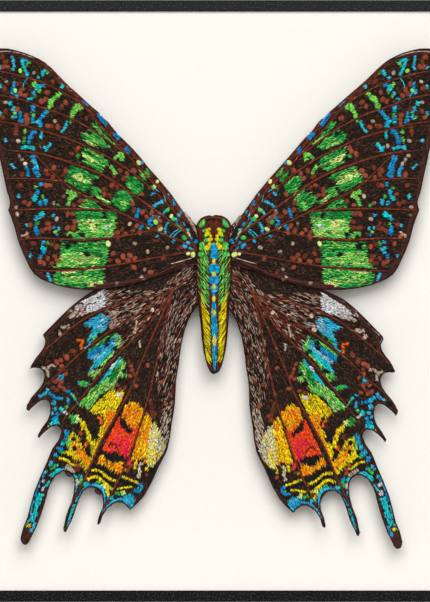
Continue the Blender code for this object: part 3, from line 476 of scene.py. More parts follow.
HINDWING_COLUMNS = [
    ("frost", 1.5, [(74.5, -6), (72, -4.5)]),
    ("beige", 1.8, [(77.5, -13), (75.5, -13.5), (73, -12.5)]),
    ("beige", 1.8, [(78, -15), (78, -17.5)]),
    ("beige", 1.8, [(73, -8.5), (70.5, -6.5)]),
    ("beige", 1.5, [(52.5, -11.5), (49, -9.5)]),
    ("beige", 1.3, [(39, -10), (39.5, -13.5), (40.5, -16.5)]),
    ("beige", 1.3, [(37.5, -20), (37.5, -23.5)]),
    ("beige", 1.3, [(41, -5.5), (38, -5)]),
    ("cyan", 1.1, [(65.5, -24), (62.5, -22)]),
    ("flame", 1.6, [(69.5, -20), (67.5, -20), (66, -20.5), (67, -22), (67, -24.5)]),
    ("ink", 1.5, [(79, -25.5), (74.5, -23.5)]),
    ("ink", 2, [(91.5, -33.5), (87.5, -31.5)]),
    ("beige", 1.3, [(87, -33.5), (84.5, -35), (84, -38.5)]),
    ("beige", 1.3, [(84, -34), (82, -32.5), (80, -33.5)]),
    ("ink", 1.5, [(60.5, -35), (56.5, -33)]),
    ("ink", 2.3, [(51, -24.5), (49, -23.5)]),
    ("green", 2.5, [(68, -41.5), (63.5, -42.5)]),
    ("blue", 1.5, [(69, -41.5), (68, -41.5)]),
    ("blue", 1, [(63.5, -42), (62, -42.5)]),
    ("sky", 1.5, [(84, -44.5), (85.5, -47), (88.5, -48.5)]),
    ("blue", 1.8, [(83.5, -46.5), (80, -49), (76.5, -49.5)]),
    ("sky", 2.5, [(82, -51), (80, -52)]),
    ("blue", 1.3, [(75, -46), (73, -45.5)]),
    ("blue", 1.5, [(74, -49), (73.5, -52.5)]),
    ("cyan", 1.3, [(72.5, -47), (71, -48)]),
    ("leaf light", 1.3, [(71, -48), (70, -50)]),
    ("sky", 0.8, [(70, -50), (69, -51.5)]),
    ("green", 1.5, [(75, -53), (74, -54)]),
    ("sky", 1.8, [(80.5, -54), (80, -55.5)]),
    ("sky", 1.5, [(82, -56), (81.5, -57.5)]),
    ("blue", 2, [(80, -57), (78.5, -58)]),
    ("cyan", 2.5, [(78, -54), (76, -55.5)]),
    ("white", 1.5, [(76.5, -55.5), (74, -57.5)]),
    ("blue", 2.3, [(82, -60.5), (79, -59)]),
    ("cyan", 2, [(83, -62.5), (78.5, -61)]),
    ("gold", 1, [(84, -63.5), (83.5, -63.5)]),
    ("gold", 2.2, [(66.5, -61.5), (64.5, -65), (63.5, -68), (62.5, -72.5)]),
    ("flame", 1.5, [(59, -59), (57.5, -59.5), (57, -61), (57, -62.5)]),
    ("gold", 1.3, [(78.5, -79.5), (74.5, -80.5), (72.5, -82.5), (69.5, -83.5)]),
    ("beige", 2.3, [(75, -83.5), (70.5, -87)]),
    ("leaf light", 2, [(73.5, -69.5), (74, -73.5)]),
    ("green", 1.8, [(77.5, -77), (75.5, -76.5)]),
    ("cyan", 2.3, [(77.5, -72), (75.5, -72.5)]),
    ("blue", 2.5, [(79, -74), (77, -76)]),
    ("blue", 2.3, [(81, -78), (79, -78)]),
    ("sky", 1.8, [(82, -81), (82.5, -82.5), (83.5, -83.5)]),
    ("sky", 1.5, [(85, -86), (85.5, -87.5)]),
    ("green", 1.6, [(80, -82.5), (81, -84), (82.5, -85.5)]),
    ("blue", 1.2, [(79, -82.5), (79.5, -84)]),
    ("cyan", 2.2, [(77.5, -85.5), (80, -86.5), (82.5, -89)]),
    ("cyan", 1.2, [(83, -91), (85.5, -94.5)]),
    ("sky", 1.5, [(78, -85.5), (75.5, -85.5)]),
    ("ink", 1.6, [(76, -74.5), (74, -75.5)]),
    ("ink", 1.4, [(75.5, -78), (72, -79.5)]),
    ("ink", 2.5, [(46.5, -59), (46, -61.5), (44.5, -64), (41.5, -66.5)]),
    ("ink", 0.9, [(53, -73), (51, -72.5), (49, -74), (48, -76.5)]),
    ("ink", 2.3, [(61, -83.5), (57.5, -83.5), (54.5, -86), (52, -88.5), (48, -89)]),
    ("gold", 1.3, [(62, -85.5), (58, -86), (55.5, -88), (52, -90.5), (49.5, -91)]),
    ("ink", 1.3, [(62.5, -87.5), (58, -87.5), (55, -90.5), (51.5, -93)]),
    ("gold", 1.6, [(64, -90.5), (60, -89), (56.5, -91), (53, -94.5), (51, -95.5)]),
    ("ink", 1, [(56.5, -93), (54.5, -95)]),
    ("gold", 1.8, [(54, -96), (53.5, -98.5)]),
    ("gold", 1, [(45.5, -85.5), (43.5, -86)]),
    ("gold", 1.1, [(46.5, -89), (43.5, -90), (41.5, -91), (38.5, -92)]),
    ("ink", 2, [(47.5, -91), (44.5, -91.5), (41.5, -93), (38.5, -93.5)]),
    ("gold", 1, [(49, -95), (45, -94.5), (41, -94)]),
    ("blue", 1.5, [(38.5, -92.5), (36.5, -93.5), (37, -95.5), (38.5, -96.5), (40.5, -96)]),
    ("green", 1, [(38.5, -94.5), (38, -95)]),
    ("pearl", 1.6, [(36.5, -82), (38, -84), (37.5, -86.5), (38.5, -89.5)]),
    ("gold", 1.5, [(39.5, -81.5), (40, -85)]),
    ("gold", 1.5, [(34, -84), (34, -86)]),
    ("rust", 2, [(32.5, -49.5), (31.5, -54), (30.5, -60)]),
    ("green", 1.5, [(59.5, -91.5), (57.5, -92)]),
    ("straw", 2, [(57, -93), (53.5, -95.5)]),
    ("sky", 1.5, [(60.5, -93), (57.5, -94), (56, -96), (55.5, -98.5), (56, -103)]),
    ("blue", 1.5, [(64.5, -94.5), (62, -93), (60.5, -93.5)]),
    ("cyan", 2, [(66, -93), (63.5, -92.5)]),
    ("cyan", 1.8, [(54, -99.5), (51, -99.5)]),
    ("blue", 1.3, [(52, -102), (48, -100.5), (45.5, -101), (42.5, -105)]),
    ("green", 1.6, [(50, -97), (47.5, -98)]),
    ("straw", 2, [(46.5, -96), (45.5, -98)]),
    ("sky", 1.1, [(49.5, -100.5), (52.5, -102.5), (55.5, -105.5), (57, -109)]),
    ("cyan", 2.5, [(71, -88), (70, -90)]),
    ("white", 2, [(69.5, -90.5), (69, -93.5)]),
    ("blue", 1.5, [(68.5, -88.5), (66.5, -89)]),
    ("green", 2, [(67, -89.5), (67.5, -93.5)]),
    ("sky", 1.3, [(69.5, -94), (70.5, -96.5), (72, -99.5), (73, -102.5)]),
    ("cyan", 1.7, [(71, -103), (72, -106), (73, -109.5)]),
    ("sky", 1.1, [(73, -109.5), (73.5, -112), (74, -114.5)]),
    ("blue", 1.3, [(62, -93), (66, -95.5), (68, -99), (70, -102)]),
    ("blue", 1.3, [(86, -88), (86.5, -89.5)]),
    ("blue", 1.2, [(88, -91), (89, -94.5)]),
    ("blue", 1.4, [(89.5, -95), (90.5, -99.5)]),
    ("sky", 1.4, [(91, -101), (92.5, -104), (93, -108)]),
    ("white", 2, [(86, -90.5), (86.5, -92)]),
    ("white", 2, [(86.5, -94), (87, -96.5)]),
    ("cyan", 2.8, [(87.5, -97.5), (89, -101.5), (90, -105), (91, -108.5), (92.5, -111.5)]),
    ("sky", 1.7, [(90.5, -112), (91.5, -115), (93, -117)]),
    ("sky", 1.7, [(94, -110.5), (95, -114)]),
    ("ink", 1.2, [(84.5, -88), (85, -89.5)]),
    ("gold", 1.9, [(93.5, -112.5), (94, -114.5)]),
]
HINDWING_KNOTS = [
    ("rust", 1.6, [(71.5, -25.5), (74.5, -28.5)]),
    ("rust", 1.3, [(79.5, -31), (77.5, -30), (77, -33), (81.5, -44)]),
    ("rust", 1.1, [
        (77.5, -35), (75, -37), (79, -40), (80.5, -41), (77, -41), (78, -43), (79.5, -45), (76, -44.5),
        (49, -42.5), (47.5, -45), (45, -44), (43, -30.5), (42, -33), (41.5, -35), (40.5, -37), (42.5, -38),
        (39.5, -43), (33.5, -32.5), (26.5, -41), (24.5, -52), (29.5, -57), (67.5, -67), (70.5, -81.5),
        (69, -83.5), (69, -85.5), (34, -88), (43.5, -85.5), (42, -83.5),
    ]),
    ("beige", 1.1, [(50.5, -6), (31, -4.5), (52, -13)]),
    ("ink", 1.2, [
        (58, -17.5), (53.5, -19.5), (54, -22), (66, -34), (81, -42), (67.5, -45.5), (45.5, -35.5), (47.5, -40),
        (65, -27.5), (70.5, -74.5), (90.5, -50), (71, -70),
    ]),
    ("white", 1.3, [(48, -47.5)]),
]
HINDWING_HAIR = [
    ("hair light", [
        (55.5, 5.5), (27.5, 5), (9, 23), (7.5, 20), (18, 5.5), (22, 2.5), (32.5, -2), (51, -2.5), (55.5, -5.5),
    ]),
    ("hair light", [(55.5, -4), (32.5, 0.5), (23, 4.5), (32.5, -4), (48.5, -14), (53, -10.5)]),
    ("hair dark", [
        (7.5, 22), (7.5, -2.5), (12, -8.5), (15.5, -18.5), (19, -14.5), (23, -9.5), (21.5, 1.5), (14, 13.5),
    ]),
    ("hair dark", [
        (21.5, -2), (19, -10.5), (16.5, -22), (18, -36), (21, -52.5), (27, -50), (29.5, -36), (27, -17),
    ]),
    ("hair rust", [
        (35.5, 0.5), (23, 2.5), (25.5, -4.5), (33.5, -12), (43.5, -22), (48.5, -24.5), (46.5, -14.5),
    ]),
    ("hair pale", [
        (24, -53), (21.5, -55), (22, -65), (23.5, -71.5), (25.5, -72), (27.5, -69), (27, -62), (26, -56),
    ]),
]

# Which threads each marking mixes, with how much of each
PALETTES = {
    "ground": (("umber", 6), ("cocoa", 4), ("bark", 1.6), ("coal", 1.2)),
    "band": (("plum", 8), ("umber", 1)),
    "rim": (("rim_brown", 5), ("umber", 2)),
    "cord": (("cord_brown", 6), ("rust", 0.6)),
    "low cord": (("plum", 3), ("cord_brown", 1)),
    "rust": (("rust", 6), ("cord_brown", 2)),
    "taupe": (("taupe", 4), ("beige", 1), ("cocoa", 1)),
    "beige": (("beige", 5), ("taupe", 2)),
    "ink": (("ink", 1),),
    "sky": (("sky", 6), ("blue", 1), ("cyan", 1.5)),
    "blue": (("blue", 6), ("sky", 1.5), ("cyan", 1)),
    "azure": (("blue", 1),),
    "cyan": (("cyan", 6), ("sky", 1.5)),
    "green": (("green", 5), ("pine", 1), ("lime", 1)),
    "lime": (("lime", 5), ("green", 2)),
    "straw": (("straw", 6), ("lime", 0.6)),
    "leaf": (("pine", 5.2), ("green", 4.6), ("lime", 1.4), ("straw", 0.4), ("umber", 1.1)),
    "dark leaf": (("pine", 5), ("green", 2)),
    "leaf light": (("lime", 4.4), ("green", 4.4), ("straw", 2.2), ("pine", 0.8)),
    "white": (("white", 9), ("taupe", 0.6)),
    "pearl": (("pearl", 6), ("yellow", 1), ("taupe", 0.6)),
    "frost": (("white", 3), ("beige", 2), ("rust", 1.5), ("taupe", 1)),
    "frost sky": (("white", 2), ("sky", 4), ("blue", 1)),
    "frost gold": (("pearl", 4), ("yellow", 3), ("orange", 0.6), ("straw", 1)),
    "gold": (("yellow", 7), ("orange", 0.9), ("olive", 0.8)),
    "amber": (("orange", 4), ("yellow", 3), ("flame", 0.8)),
    "orange": (("orange", 5), ("yellow", 1), ("flame", 2.5)),
    "flame": (("flame", 5), ("orange", 1)),
    "red": (("red", 6), ("flame", 2), ("magenta", 0.8)),
    "magenta": (("magenta", 3), ("red", 2.6)),
    "hair light": (("beige", 2.8), ("rust", 1.6), ("cocoa", 3), ("umber", 4), ("taupe", 1.5)),
    "hair dark": (("ink", 3), ("rust", 2), ("beige", 1.5), ("umber", 3), ("taupe", 1)),
    "hair rust": (("rust", 3), ("umber", 3), ("beige", 1), ("cocoa", 2)),
    "hair pale": (("beige", 4), ("ink", 2), ("umber", 1)),
    "green feather": (("green", 5), ("lime", 2.4), ("pine", 1.4)),
    "eye": (("green", 4), ("lime", 1.2), ("pine", 0.6)),
    "olive feather": (("olive", 3), ("umber", 1)),
    "hood": (("rust", 1), ("cord_brown", 3)),
    "front rim": (("cord_brown", 4), ("rim_brown", 3)),
    "edge band": (("cord_brown", 5), ("rust", 1), ("rim_brown", 2)),
    "yellow feather": (("yellow", 6), ("olive", 1.6)),
    "dash": (("yellow", 1),),
    "body": (("chestnut", 5), ("cord_brown", 1), ("umber", 0.6)),
}
# Marks that are sewn with a thicker thread, by palette
FAT_STITCHES = {
    "straw": {"width": 0.62, "length": 1.5}, "white": {"width": 0.55, "length": 1.6},
    "orange": {"width": 0.46, "packing": 0.66, "share": 1.0}, "amber": {"width": 0.46, "packing": 0.66, "share": 1.0},
    "red": {"width": 0.46, "packing": 0.62, "share": 1.0}, "magenta": {"width": 0.46, "packing": 0.62, "share": 1.0},
    "frost gold": {"width": 0.46, "packing": 0.68, "share": 1.0}, "gold": {"width": 0.44, "packing": 0.76},
}

# Zones of the body's pattern, and its marks, as (out, up). Where out is 0, a mark lies on the middle line.
BODY_EYE = [(5.0, 41.5), (4.2, 40.6), (4.3, 38.6), (5.2, 37.3), (6.6, 37.0), (7.1, 37.9), (6.5, 39.9)]
BODY_HOOD = [(-7.6, 38.4), (-6.5, 40.2), (-4.5, 41.4), (-2.2, 42.0), (0, 42.2), (2.2, 42.0), (4.5, 41.4), (6.5, 40.2),
             (7.6, 38.4)]
BODY_SEAM = [(-4.8, 40.4), (-2.2, 41.1), (0, 41.3), (2.2, 41.1), (4.8, 40.4)]
BODY_YELLOW = [
    (2.6, 36.1, 1.1), (3.0, 34.1, 1.35), (1.6, 32.9, 0.8), (1.8, 31.0, 1.3), (2.1, 28.7, 1.1), (3.0, 27.1, 1.6),
]
BODY_GREEN = [
    (4.5, 35.6, 1.0), (4.0, 33.0, 0.9), (3.6, 30.7, 1.2), (5.7, 28.6, 1.4), (5.6, 26.8, 1.4), (6.4, 23.5, 1.25),
]
BODY_BLUE_LOBES = [(27.6, 1.85), (25.7, 2.0), (22.8, 2.3), (16.3, 2.9), (10.8, 2.75), (6.3, 2.15)]
BODY_BLUE_STRIP = [(4.0, 0.5), (0.8, 0.7), (-6.0, 1.25), (-14.0, 1.4), (-24.0, 1.2), (-31.0, 0.7), (-35.2, 0.3)]
BODY_DASHES = [(20.0, 1.6), (13.5, 1.6), (7.2, 1.7), (1.1, 1.7), (-6.0, 1.8), (-20.2, 3.6)]


def thread(name, description, shade):
    """A thread's colour as a property, from its red, green and blue out of 255."""
    return bpy.props.FloatVectorProperty(
        name=name, description=description, subtype="COLOR_GAMMA", size=3, min=0.0, max=1.0,
        default=[part / 255 for part in shade],
    )


class ThreadColours(bpy.types.PropertyGroup):
    """The colours of the embroidery threads, as they look on a screen."""

    umber: thread("Umber", "Darkest brown between the markings", (36, 21, 13))
    cocoa: thread("Cocoa", "Middle brown between the markings", (64, 41, 29))
    bark: thread("Bark", "Light brown fibres between the markings", (116, 84, 64))
    coal: thread("Coal", "Near black strands between the markings", (18, 13, 11))
    plum: thread("Plum", "Purple brown bands along the wings' edges", (92, 55, 49))
    rim_brown: thread("Rim brown", "Corded rim of the wings and the body", (62, 34, 28))
    cord_brown: thread("Cord brown", "Corded veins", (114, 56, 39))
    rust: thread("Rust", "Round knots and stray strands", (162, 82, 58))
    chestnut: thread("Chestnut", "Ground of the body", (116, 54, 40))
    taupe: thread("Taupe", "Small greyish knots", (182, 160, 144))
    beige: thread("Beige", "Pale hairs and knots", (230, 206, 184))
    white: thread("White", "White patches", (236, 236, 238))
    pearl: thread("Pearl", "Yellowish white at the tail end", (232, 228, 206))
    ink: thread("Ink", "Black marks", (34, 38, 42))
    sky: thread("Sky", "Light blue marks", (80, 214, 252))
    blue: thread("Blue", "Strong blue marks", (4, 166, 234))
    cyan: thread("Cyan", "Blue green marks", (14, 234, 236))
    pine: thread("Pine", "Darkest green", (18, 160, 72))
    green: thread("Green", "Middle green", (76, 216, 98))
    lime: thread("Lime", "Light green", (164, 246, 108))
    straw: thread("Straw", "Pale yellow green", (244, 252, 160))
    yellow: thread("Yellow", "Yellow marks", (255, 236, 28))
    olive: thread("Olive", "Shaded yellow", (176, 160, 20))
    orange: thread("Orange", "Orange marks", (255, 176, 24))
    flame: thread("Flame", "Orange red marks", (255, 116, 30))
    red: thread("Red", "Red marks", (255, 82, 36))
    magenta: thread("Magenta", "Purple red marks", (250, 32, 100))


def length_setting(name, description, millimetres):
    return bpy.props.FloatProperty(
        name=name, description=description, default=millimetres * MM, min=0.0, precision=5, unit="LENGTH",
    )


class StitchSizes(bpy.types.PropertyGroup):
    """The sizes of the strands and how neatly they are laid."""

    ground_width: length_setting("Ground width", "Width of a strand between the markings", 0.34)
    ground_length: length_setting("Ground length", "Usual length of a stitch between the markings", 1.7)
    ground_height: length_setting("Ground height", "How far a ground strand stands up", 0.26)
    satin_width: length_setting("Satin width", "Width of a strand in a marking", 0.38)
    satin_length: length_setting("Satin length", "Usual length of a stitch in a marking", 2.0)
    satin_height: length_setting("Satin height", "How far a marking's strand stands up", 0.4)
    knot_width: length_setting("Knot width", "Width of one turn of thread in a round knot", 0.52)
    knot_height: length_setting("Knot height", "How far a round knot stands up", 0.7)
    cord_width: length_setting("Cord width", "Width of a corded vein", 1.15)
    main_cord_width: length_setting("Main cord width", "Width of the thick vein through a wing", 1.5)
    rim_width: length_setting("Rim width", "Width of the corded rim", 0.8)
    overhang: length_setting("Overhang", "How far the stitches reach over the felt's edge", 0.25)
    band_width: length_setting("Band width", "Width of the purple brown band inside a forewing's rim", 2.9)
    edge_band_width: length_setting("Front band width", "Width of the reddish band along a forewing's front", 2.7)
    ragged: length_setting("Ragged ends", "How unevenly a marking's stitches end", 1.5)
    stray: bpy.props.FloatProperty(
        name="Stray angle", description="How far a ground stitch turns from the grain",
        default=radians(20), min=0.0, max=pi / 2, subtype="ANGLE",
    )
    shade_spread: bpy.props.FloatProperty(
        name="Shade spread", description="How much lighter or darker one strand is than the next",
        default=0.22, min=0.0, max=1.0, subtype="FACTOR",
    )


class FinishColours(bpy.types.PropertyGroup):
    """The colours of the frame, the boards and the fittings."""

    powder: thread("Powder coat", "Black powder coat on the rails", (4, 4, 5))
    board: thread("Mount board", "Off-white board behind the moth", (253, 250, 243))
    kraft: thread("Backing board", "Kraft paper face of the backing board", (176, 146, 112))
    zinc: thread("Zinc", "Zinc plated hanger, plates and screws", (190, 192, 194))
    steel: thread("Spring steel", "Bow springs", (150, 153, 158))
    plastic: thread("Posts", "Black posts behind the moth", (14, 15, 15))
    felt: thread("Felt", "Stiff felt under the stitches", (30, 19, 13))


class StageSettings(bpy.types.PropertyGroup):
    """The camera, the lights and the floor."""

    lens: bpy.props.FloatProperty(
        name="Lens", description="Focal length of the camera", default=1000.0, min=50.0, unit="CAMERA",
    )
    view_height: length_setting("View height", "Height of the picture at the moth", 304.7)
    view_across: length_setting("View across", "How far right of the frame's middle the camera stands", 0.6)
    key_watts: bpy.props.FloatProperty(
        name="Key light", description="Strength of the large soft light", default=604.0, min=0.0, unit="POWER",
    )
    key_angle: bpy.props.FloatProperty(
        name="Key height", description="How high the large soft light stands above the moth",
        default=radians(38), subtype="ANGLE",
    )
    key_turn: bpy.props.FloatProperty(
        name="Key turn", description="How far to the right of the moth the large soft light stands",
        default=radians(6), subtype="ANGLE",
    )
    key_distance: length_setting("Key distance", "From the moth to the large soft light", 9000.0)
    panel_watts: bpy.props.FloatProperty(
        name="Pale panel", description="Strength of the panel that the top rail mirrors", default=38.0, min=0.0,
        unit="POWER",
    )
    back_watts: bpy.props.FloatProperty(
        name="Back light", description="Strength of the soft light behind the frame", default=20.0, min=0.0,
        unit="POWER",
    )
    sky: bpy.props.FloatProperty(
        name="Surroundings", description="Brightness of the pale surroundings", default=0.05, min=0.0,
    )


def to_linear(shade):
    """A screen colour as the light that it stands for."""
    part = np.asarray(shade, float)
    return np.where(part <= 0.04045, part / 12.92, ((part + 0.055) / 1.055) ** 2.4)


def colour(shade):
    return (*to_linear(shade), 1.0)


def millimetres(length):
    return length / MM


def deselect_all():
    if bpy.context.mode != "OBJECT":
        bpy.ops.object.mode_set(mode="OBJECT")
    bpy.ops.object.select_all(action="DESELECT")


def select_where(ob, wanted):
    """In edit mode, selects the vertices whose place passes the test, and the edges and faces between them."""
    shape = bmesh.from_edit_mesh(ob.data)
    for vertex in shape.verts:
        vertex.select = bool(wanted(vertex.co))
    shape.select_flush_mode()
    shape.select_flush(True)
    bmesh.update_edit_mesh(ob.data)


def model_strand(sides):
    """One strand, a unit long, wide and high: half of a round bar whose ends dive into the cloth.
    Returns its vertices and its faces, to be copied for every stitch."""
    straight = 0.56
    deselect_all()
    bpy.ops.mesh.primitive_cylinder_add(
        vertices=sides, radius=0.5, depth=straight, end_fill_type="TRIFAN", rotation=(0, pi / 2, 0),
    )
    ob = bpy.context.object
    bpy.ops.object.transform_apply(location=True, rotation=True, scale=True)
    bpy.ops.object.mode_set(mode="EDIT")
    bpy.ops.mesh.select_all(action="SELECT")
    bpy.ops.mesh.bisect(plane_co=(0, 0, 0), plane_no=(0, 0, 1), use_fill=True, clear_inner=True)
    top = max(vertex.co.z for vertex in bmesh.from_edit_mesh(ob.data).verts)
    bpy.ops.mesh.select_all(action="SELECT")
    bpy.ops.transform.resize(value=(1, 1, 1 / top), center_override=(0, 0, 0))
    for end in (-1, 1):
        select_where(ob, lambda at: at.x * end > 0 and abs(at.y) < 0.01 and at.z < 0.01)
        bpy.ops.transform.translate(value=(end * (1 - straight) / 2, 0, 0))
    bpy.ops.object.mode_set(mode="OBJECT")
    places = np.array([vertex.co for vertex in ob.data.vertices])
    faces = [list(face.vertices) for face in ob.data.polygons]
    bpy.data.objects.remove(ob)
    return places, faces


class Sewing:
    """Stitches gathered for one joined mesh. Each has two ends, the cloth's normal, a width, a height and a colour.
    All places are in millimetres."""

    def __init__(self):
        self.parts = []

    def add(self, starts, ends, normals, widths, heights, colours):
        count = len(starts)
        if not count:
            return
        self.parts.append([
            np.asarray(starts, float), np.asarray(ends, float), np.broadcast_to(normals, (count, 3)),
            np.broadcast_to(widths, count), np.broadcast_to(heights, count), np.asarray(colours, float),
        ])

    def join(self, name, strand, material, slot):
        """Copies the strand to every stitch and joins the copies into one named piece."""
        starts, ends, normals, widths, heights, colours = (np.concatenate(rows) for rows in zip(*self.parts))
        shape, faces = strand
        along = ends - starts
        lengths = np.linalg.norm(along, axis=1)
        across = np.cross(normals, along / lengths[:, None])
        across /= np.linalg.norm(across, axis=1)[:, None]
        places = ((starts + ends) / 2)[:, None] + shape[None, :, 0:1] * along[:, None]
        places = places + shape[None, :, 1:2] * (across * widths[:, None])[:, None]
        places = places + shape[None, :, 2:3] * (normals * heights[:, None])[:, None]
        count, corners = len(starts), len(shape)
        totals = [len(face) for face in faces]
        order = np.concatenate(faces)
        steps = np.arange(count)[:, None]
        mesh = bpy.data.meshes.new(name)
        mesh.vertices.add(count * corners)
        mesh.vertices.foreach_set("co", (places * MM).ravel())
        mesh.loops.add(count * len(order))
        mesh.loops.foreach_set("vertex_index", (order[None] + steps * corners).ravel())
        mesh.polygons.add(count * len(faces))
        begins = np.cumsum([0] + totals[:-1])
        mesh.polygons.foreach_set("loop_start", (begins[None] + steps * len(order)).ravel())
        mesh.polygons.foreach_set("use_smooth", np.ones(count * len(faces), bool))
        mesh.update(calc_edges=True)
        tint = mesh.color_attributes.new(name="thread_colour", type="FLOAT_COLOR", domain="POINT")
        shades = np.concatenate([colours, np.ones((count, 1))], axis=1)
        tint.data.foreach_set("color", np.repeat(shades, corners, axis=0).ravel())
        run = mesh.uv_layers.new(name="thread_run")
        reach = (shape[order, 0][None] + 0.5) * lengths[:, None]
        width = np.broadcast_to(shape[order, 1][None], reach.shape)
        run.data.foreach_set("uv", np.stack([reach, width], axis=2).ravel())
        mesh.materials.append(material)
        return place_piece(name, mesh)


def place_piece(name, mesh):
    """Puts a finished mesh into the scene as a named piece that rides with the frame."""
    ob = bpy.data.objects.new(name, mesh)
    bpy.context.scene.collection.objects.link(ob)
    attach(ob, BODY_NAME)
    return ob


class ThreadBox:
    """The threads by name, in the colours that the scene's settings give them."""

    def __init__(self, seed):
        scene = bpy.context.scene
        self.dice = np.random.default_rng(seed)
        self.spread = scene.moth_stitches.shade_spread
        self.shades = {key: to_linear(getattr(scene.moth_threads, key)) for key in ThreadColours.__annotations__}

    def draw(self, palette, count):
        """Colours for that many stitches, drawn from a palette, each a little lighter or darker."""
        names, shares = zip(*PALETTES[palette])
        shares = np.array(shares) / sum(shares)
        picked = self.dice.choice(len(names), size=count, p=shares)
        colours = np.array([self.shades[name] for name in names])[picked]
        return colours * (1 + self.spread * self.dice.normal(size=(count, 1))).clip(0.5, 1.6)


def smooth_route(points, step):
    """A smooth curve through the points, as places a step apart."""
    given = np.asarray(points, float)
    padded = np.concatenate([[2 * given[0] - given[1]], given, [2 * given[-1] - given[-2]]])
    fine = []
    for before, start, end, after in zip(padded, padded[1:], padded[2:], padded[3:]):
        t = np.linspace(0, 1, 12, endpoint=False)[:, None]
        fine.append(0.5 * (2 * start + (end - before) * t + (2 * before - 5 * start + 4 * end - after) * t ** 2
                           + (3 * start - before - 3 * end + after) * t ** 3))
    return even_steps(np.concatenate([*fine, given[-1:]]), step)


def even_steps(line, step):
    """The line's places a step apart."""
    run = np.concatenate([[0], np.cumsum(np.linalg.norm(np.diff(line, axis=0), axis=1))])
    count = max(2, round(run[-1] / step) + 1)
    marks = np.linspace(0, run[-1], count)
    return np.stack([np.interp(marks, run, line[:, 0]), np.interp(marks, run, line[:, 1])], axis=1)


def headings(line):
    """The unit direction of a line at each of its places."""
    step = np.gradient(line, axis=0)
    return step / np.linalg.norm(step, axis=1)[:, None].clip(1e-9)


def loop_inward(loop):
    """The unit directions into a closed loop that runs against the clock, at each of its places."""
    directions = headings(np.concatenate([loop[-1:], loop, loop[:1]]))[1:-1]
    return directions[:, ::-1] * (-1, 1)


def turned(directions, angles):
    """Flat directions turned by the angles."""
    c, s = np.cos(angles), np.sin(angles)
    return np.stack([directions[:, 0] * c - directions[:, 1] * s, directions[:, 0] * s + directions[:, 1] * c], axis=1)


def inside(points, loop):
    """Which of the points lie inside the closed loop."""
    x, y = points[:, 0][:, None], points[:, 1][:, None]
    ax, ay = loop[:, 0][None], loop[:, 1][None]
    bx, by = np.roll(loop[:, 0], -1)[None], np.roll(loop[:, 1], -1)[None]
    crosses = (ay > y) != (by > y)
    with np.errstate(divide="ignore", invalid="ignore"):
        left = x < ax + (y - ay) * (bx - ax) / (by - ay)
    return (crosses & left).sum(axis=1) % 2 == 1


def nearest_on_loop(points, loop):
    """How far each point is from the closed loop, and the loop's direction there."""
    start, end = loop[None], np.roll(loop, -1, axis=0)[None]
    side = end - start
    lengths = (side ** 2).sum(axis=2).clip(1e-9)
    share = (((points[:, None] - start) * side).sum(axis=2) / lengths).clip(0, 1)
    gap = np.linalg.norm(points[:, None] - start - share[..., None] * side, axis=2)
    nearest = gap.argmin(axis=1)
    rows = np.arange(len(points))
    direction = side[0][nearest]
    return gap[rows, nearest], direction / np.linalg.norm(direction, axis=1)[:, None].clip(1e-9)


def band_outline(line, widths):
    """The outline of a band along a line, with a width at each of its places."""
    aside = headings(line)[:, ::-1] * (-1, 1) * np.broadcast_to(widths, len(line))[:, None] / 2
    return np.concatenate([line + aside, (line - aside)[::-1]])


def round_outline(middle, radius, sides=14):
    turns = np.arange(sides) * 2 * pi / sides
    return np.asarray(middle) + radius * np.stack([np.cos(turns), np.sin(turns)], axis=1)


def cad_outline(node):
    """A wing's outline as the CAD model has it: the rim of its flat back, in order round the wing, in millimetres."""
    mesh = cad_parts[node].data
    back = max(vertex.co.y for vertex in mesh.vertices)
    seen = {}
    for face in mesh.polygons:
        corners = [mesh.vertices[k].co for k in face.vertices]
        if any(corner.y < back - 0.01 * MM for corner in corners):
            continue
        keys = [(round(corner.x, 5), round(corner.z, 5)) for corner in corners]
        for a, b in zip(keys, keys[1:] + keys[:1]):
            seen[frozenset((a, b))] = seen.get(frozenset((a, b)), 0) + 1
    beside = {}
    for edge, count in seen.items():
        if count == 1 and len(edge) == 2:
            a, b = edge
            beside.setdefault(a, []).append(b)
            beside.setdefault(b, []).append(a)
    first = here = min(beside)
    came, loop = None, []
    while True:
        loop.append(here)
        onward = [key for key in beside[here] if key != came]
        came, here = here, onward[0]
        if here == first:
            break
    outline = (np.array(loop) - (CENTRE.x, CENTRE.z)) / MM
    x, y = outline.T
    area = (x * np.roll(y, -1) - np.roll(x, -1) * y).sum()
    return outline if area > 0 else outline[::-1]


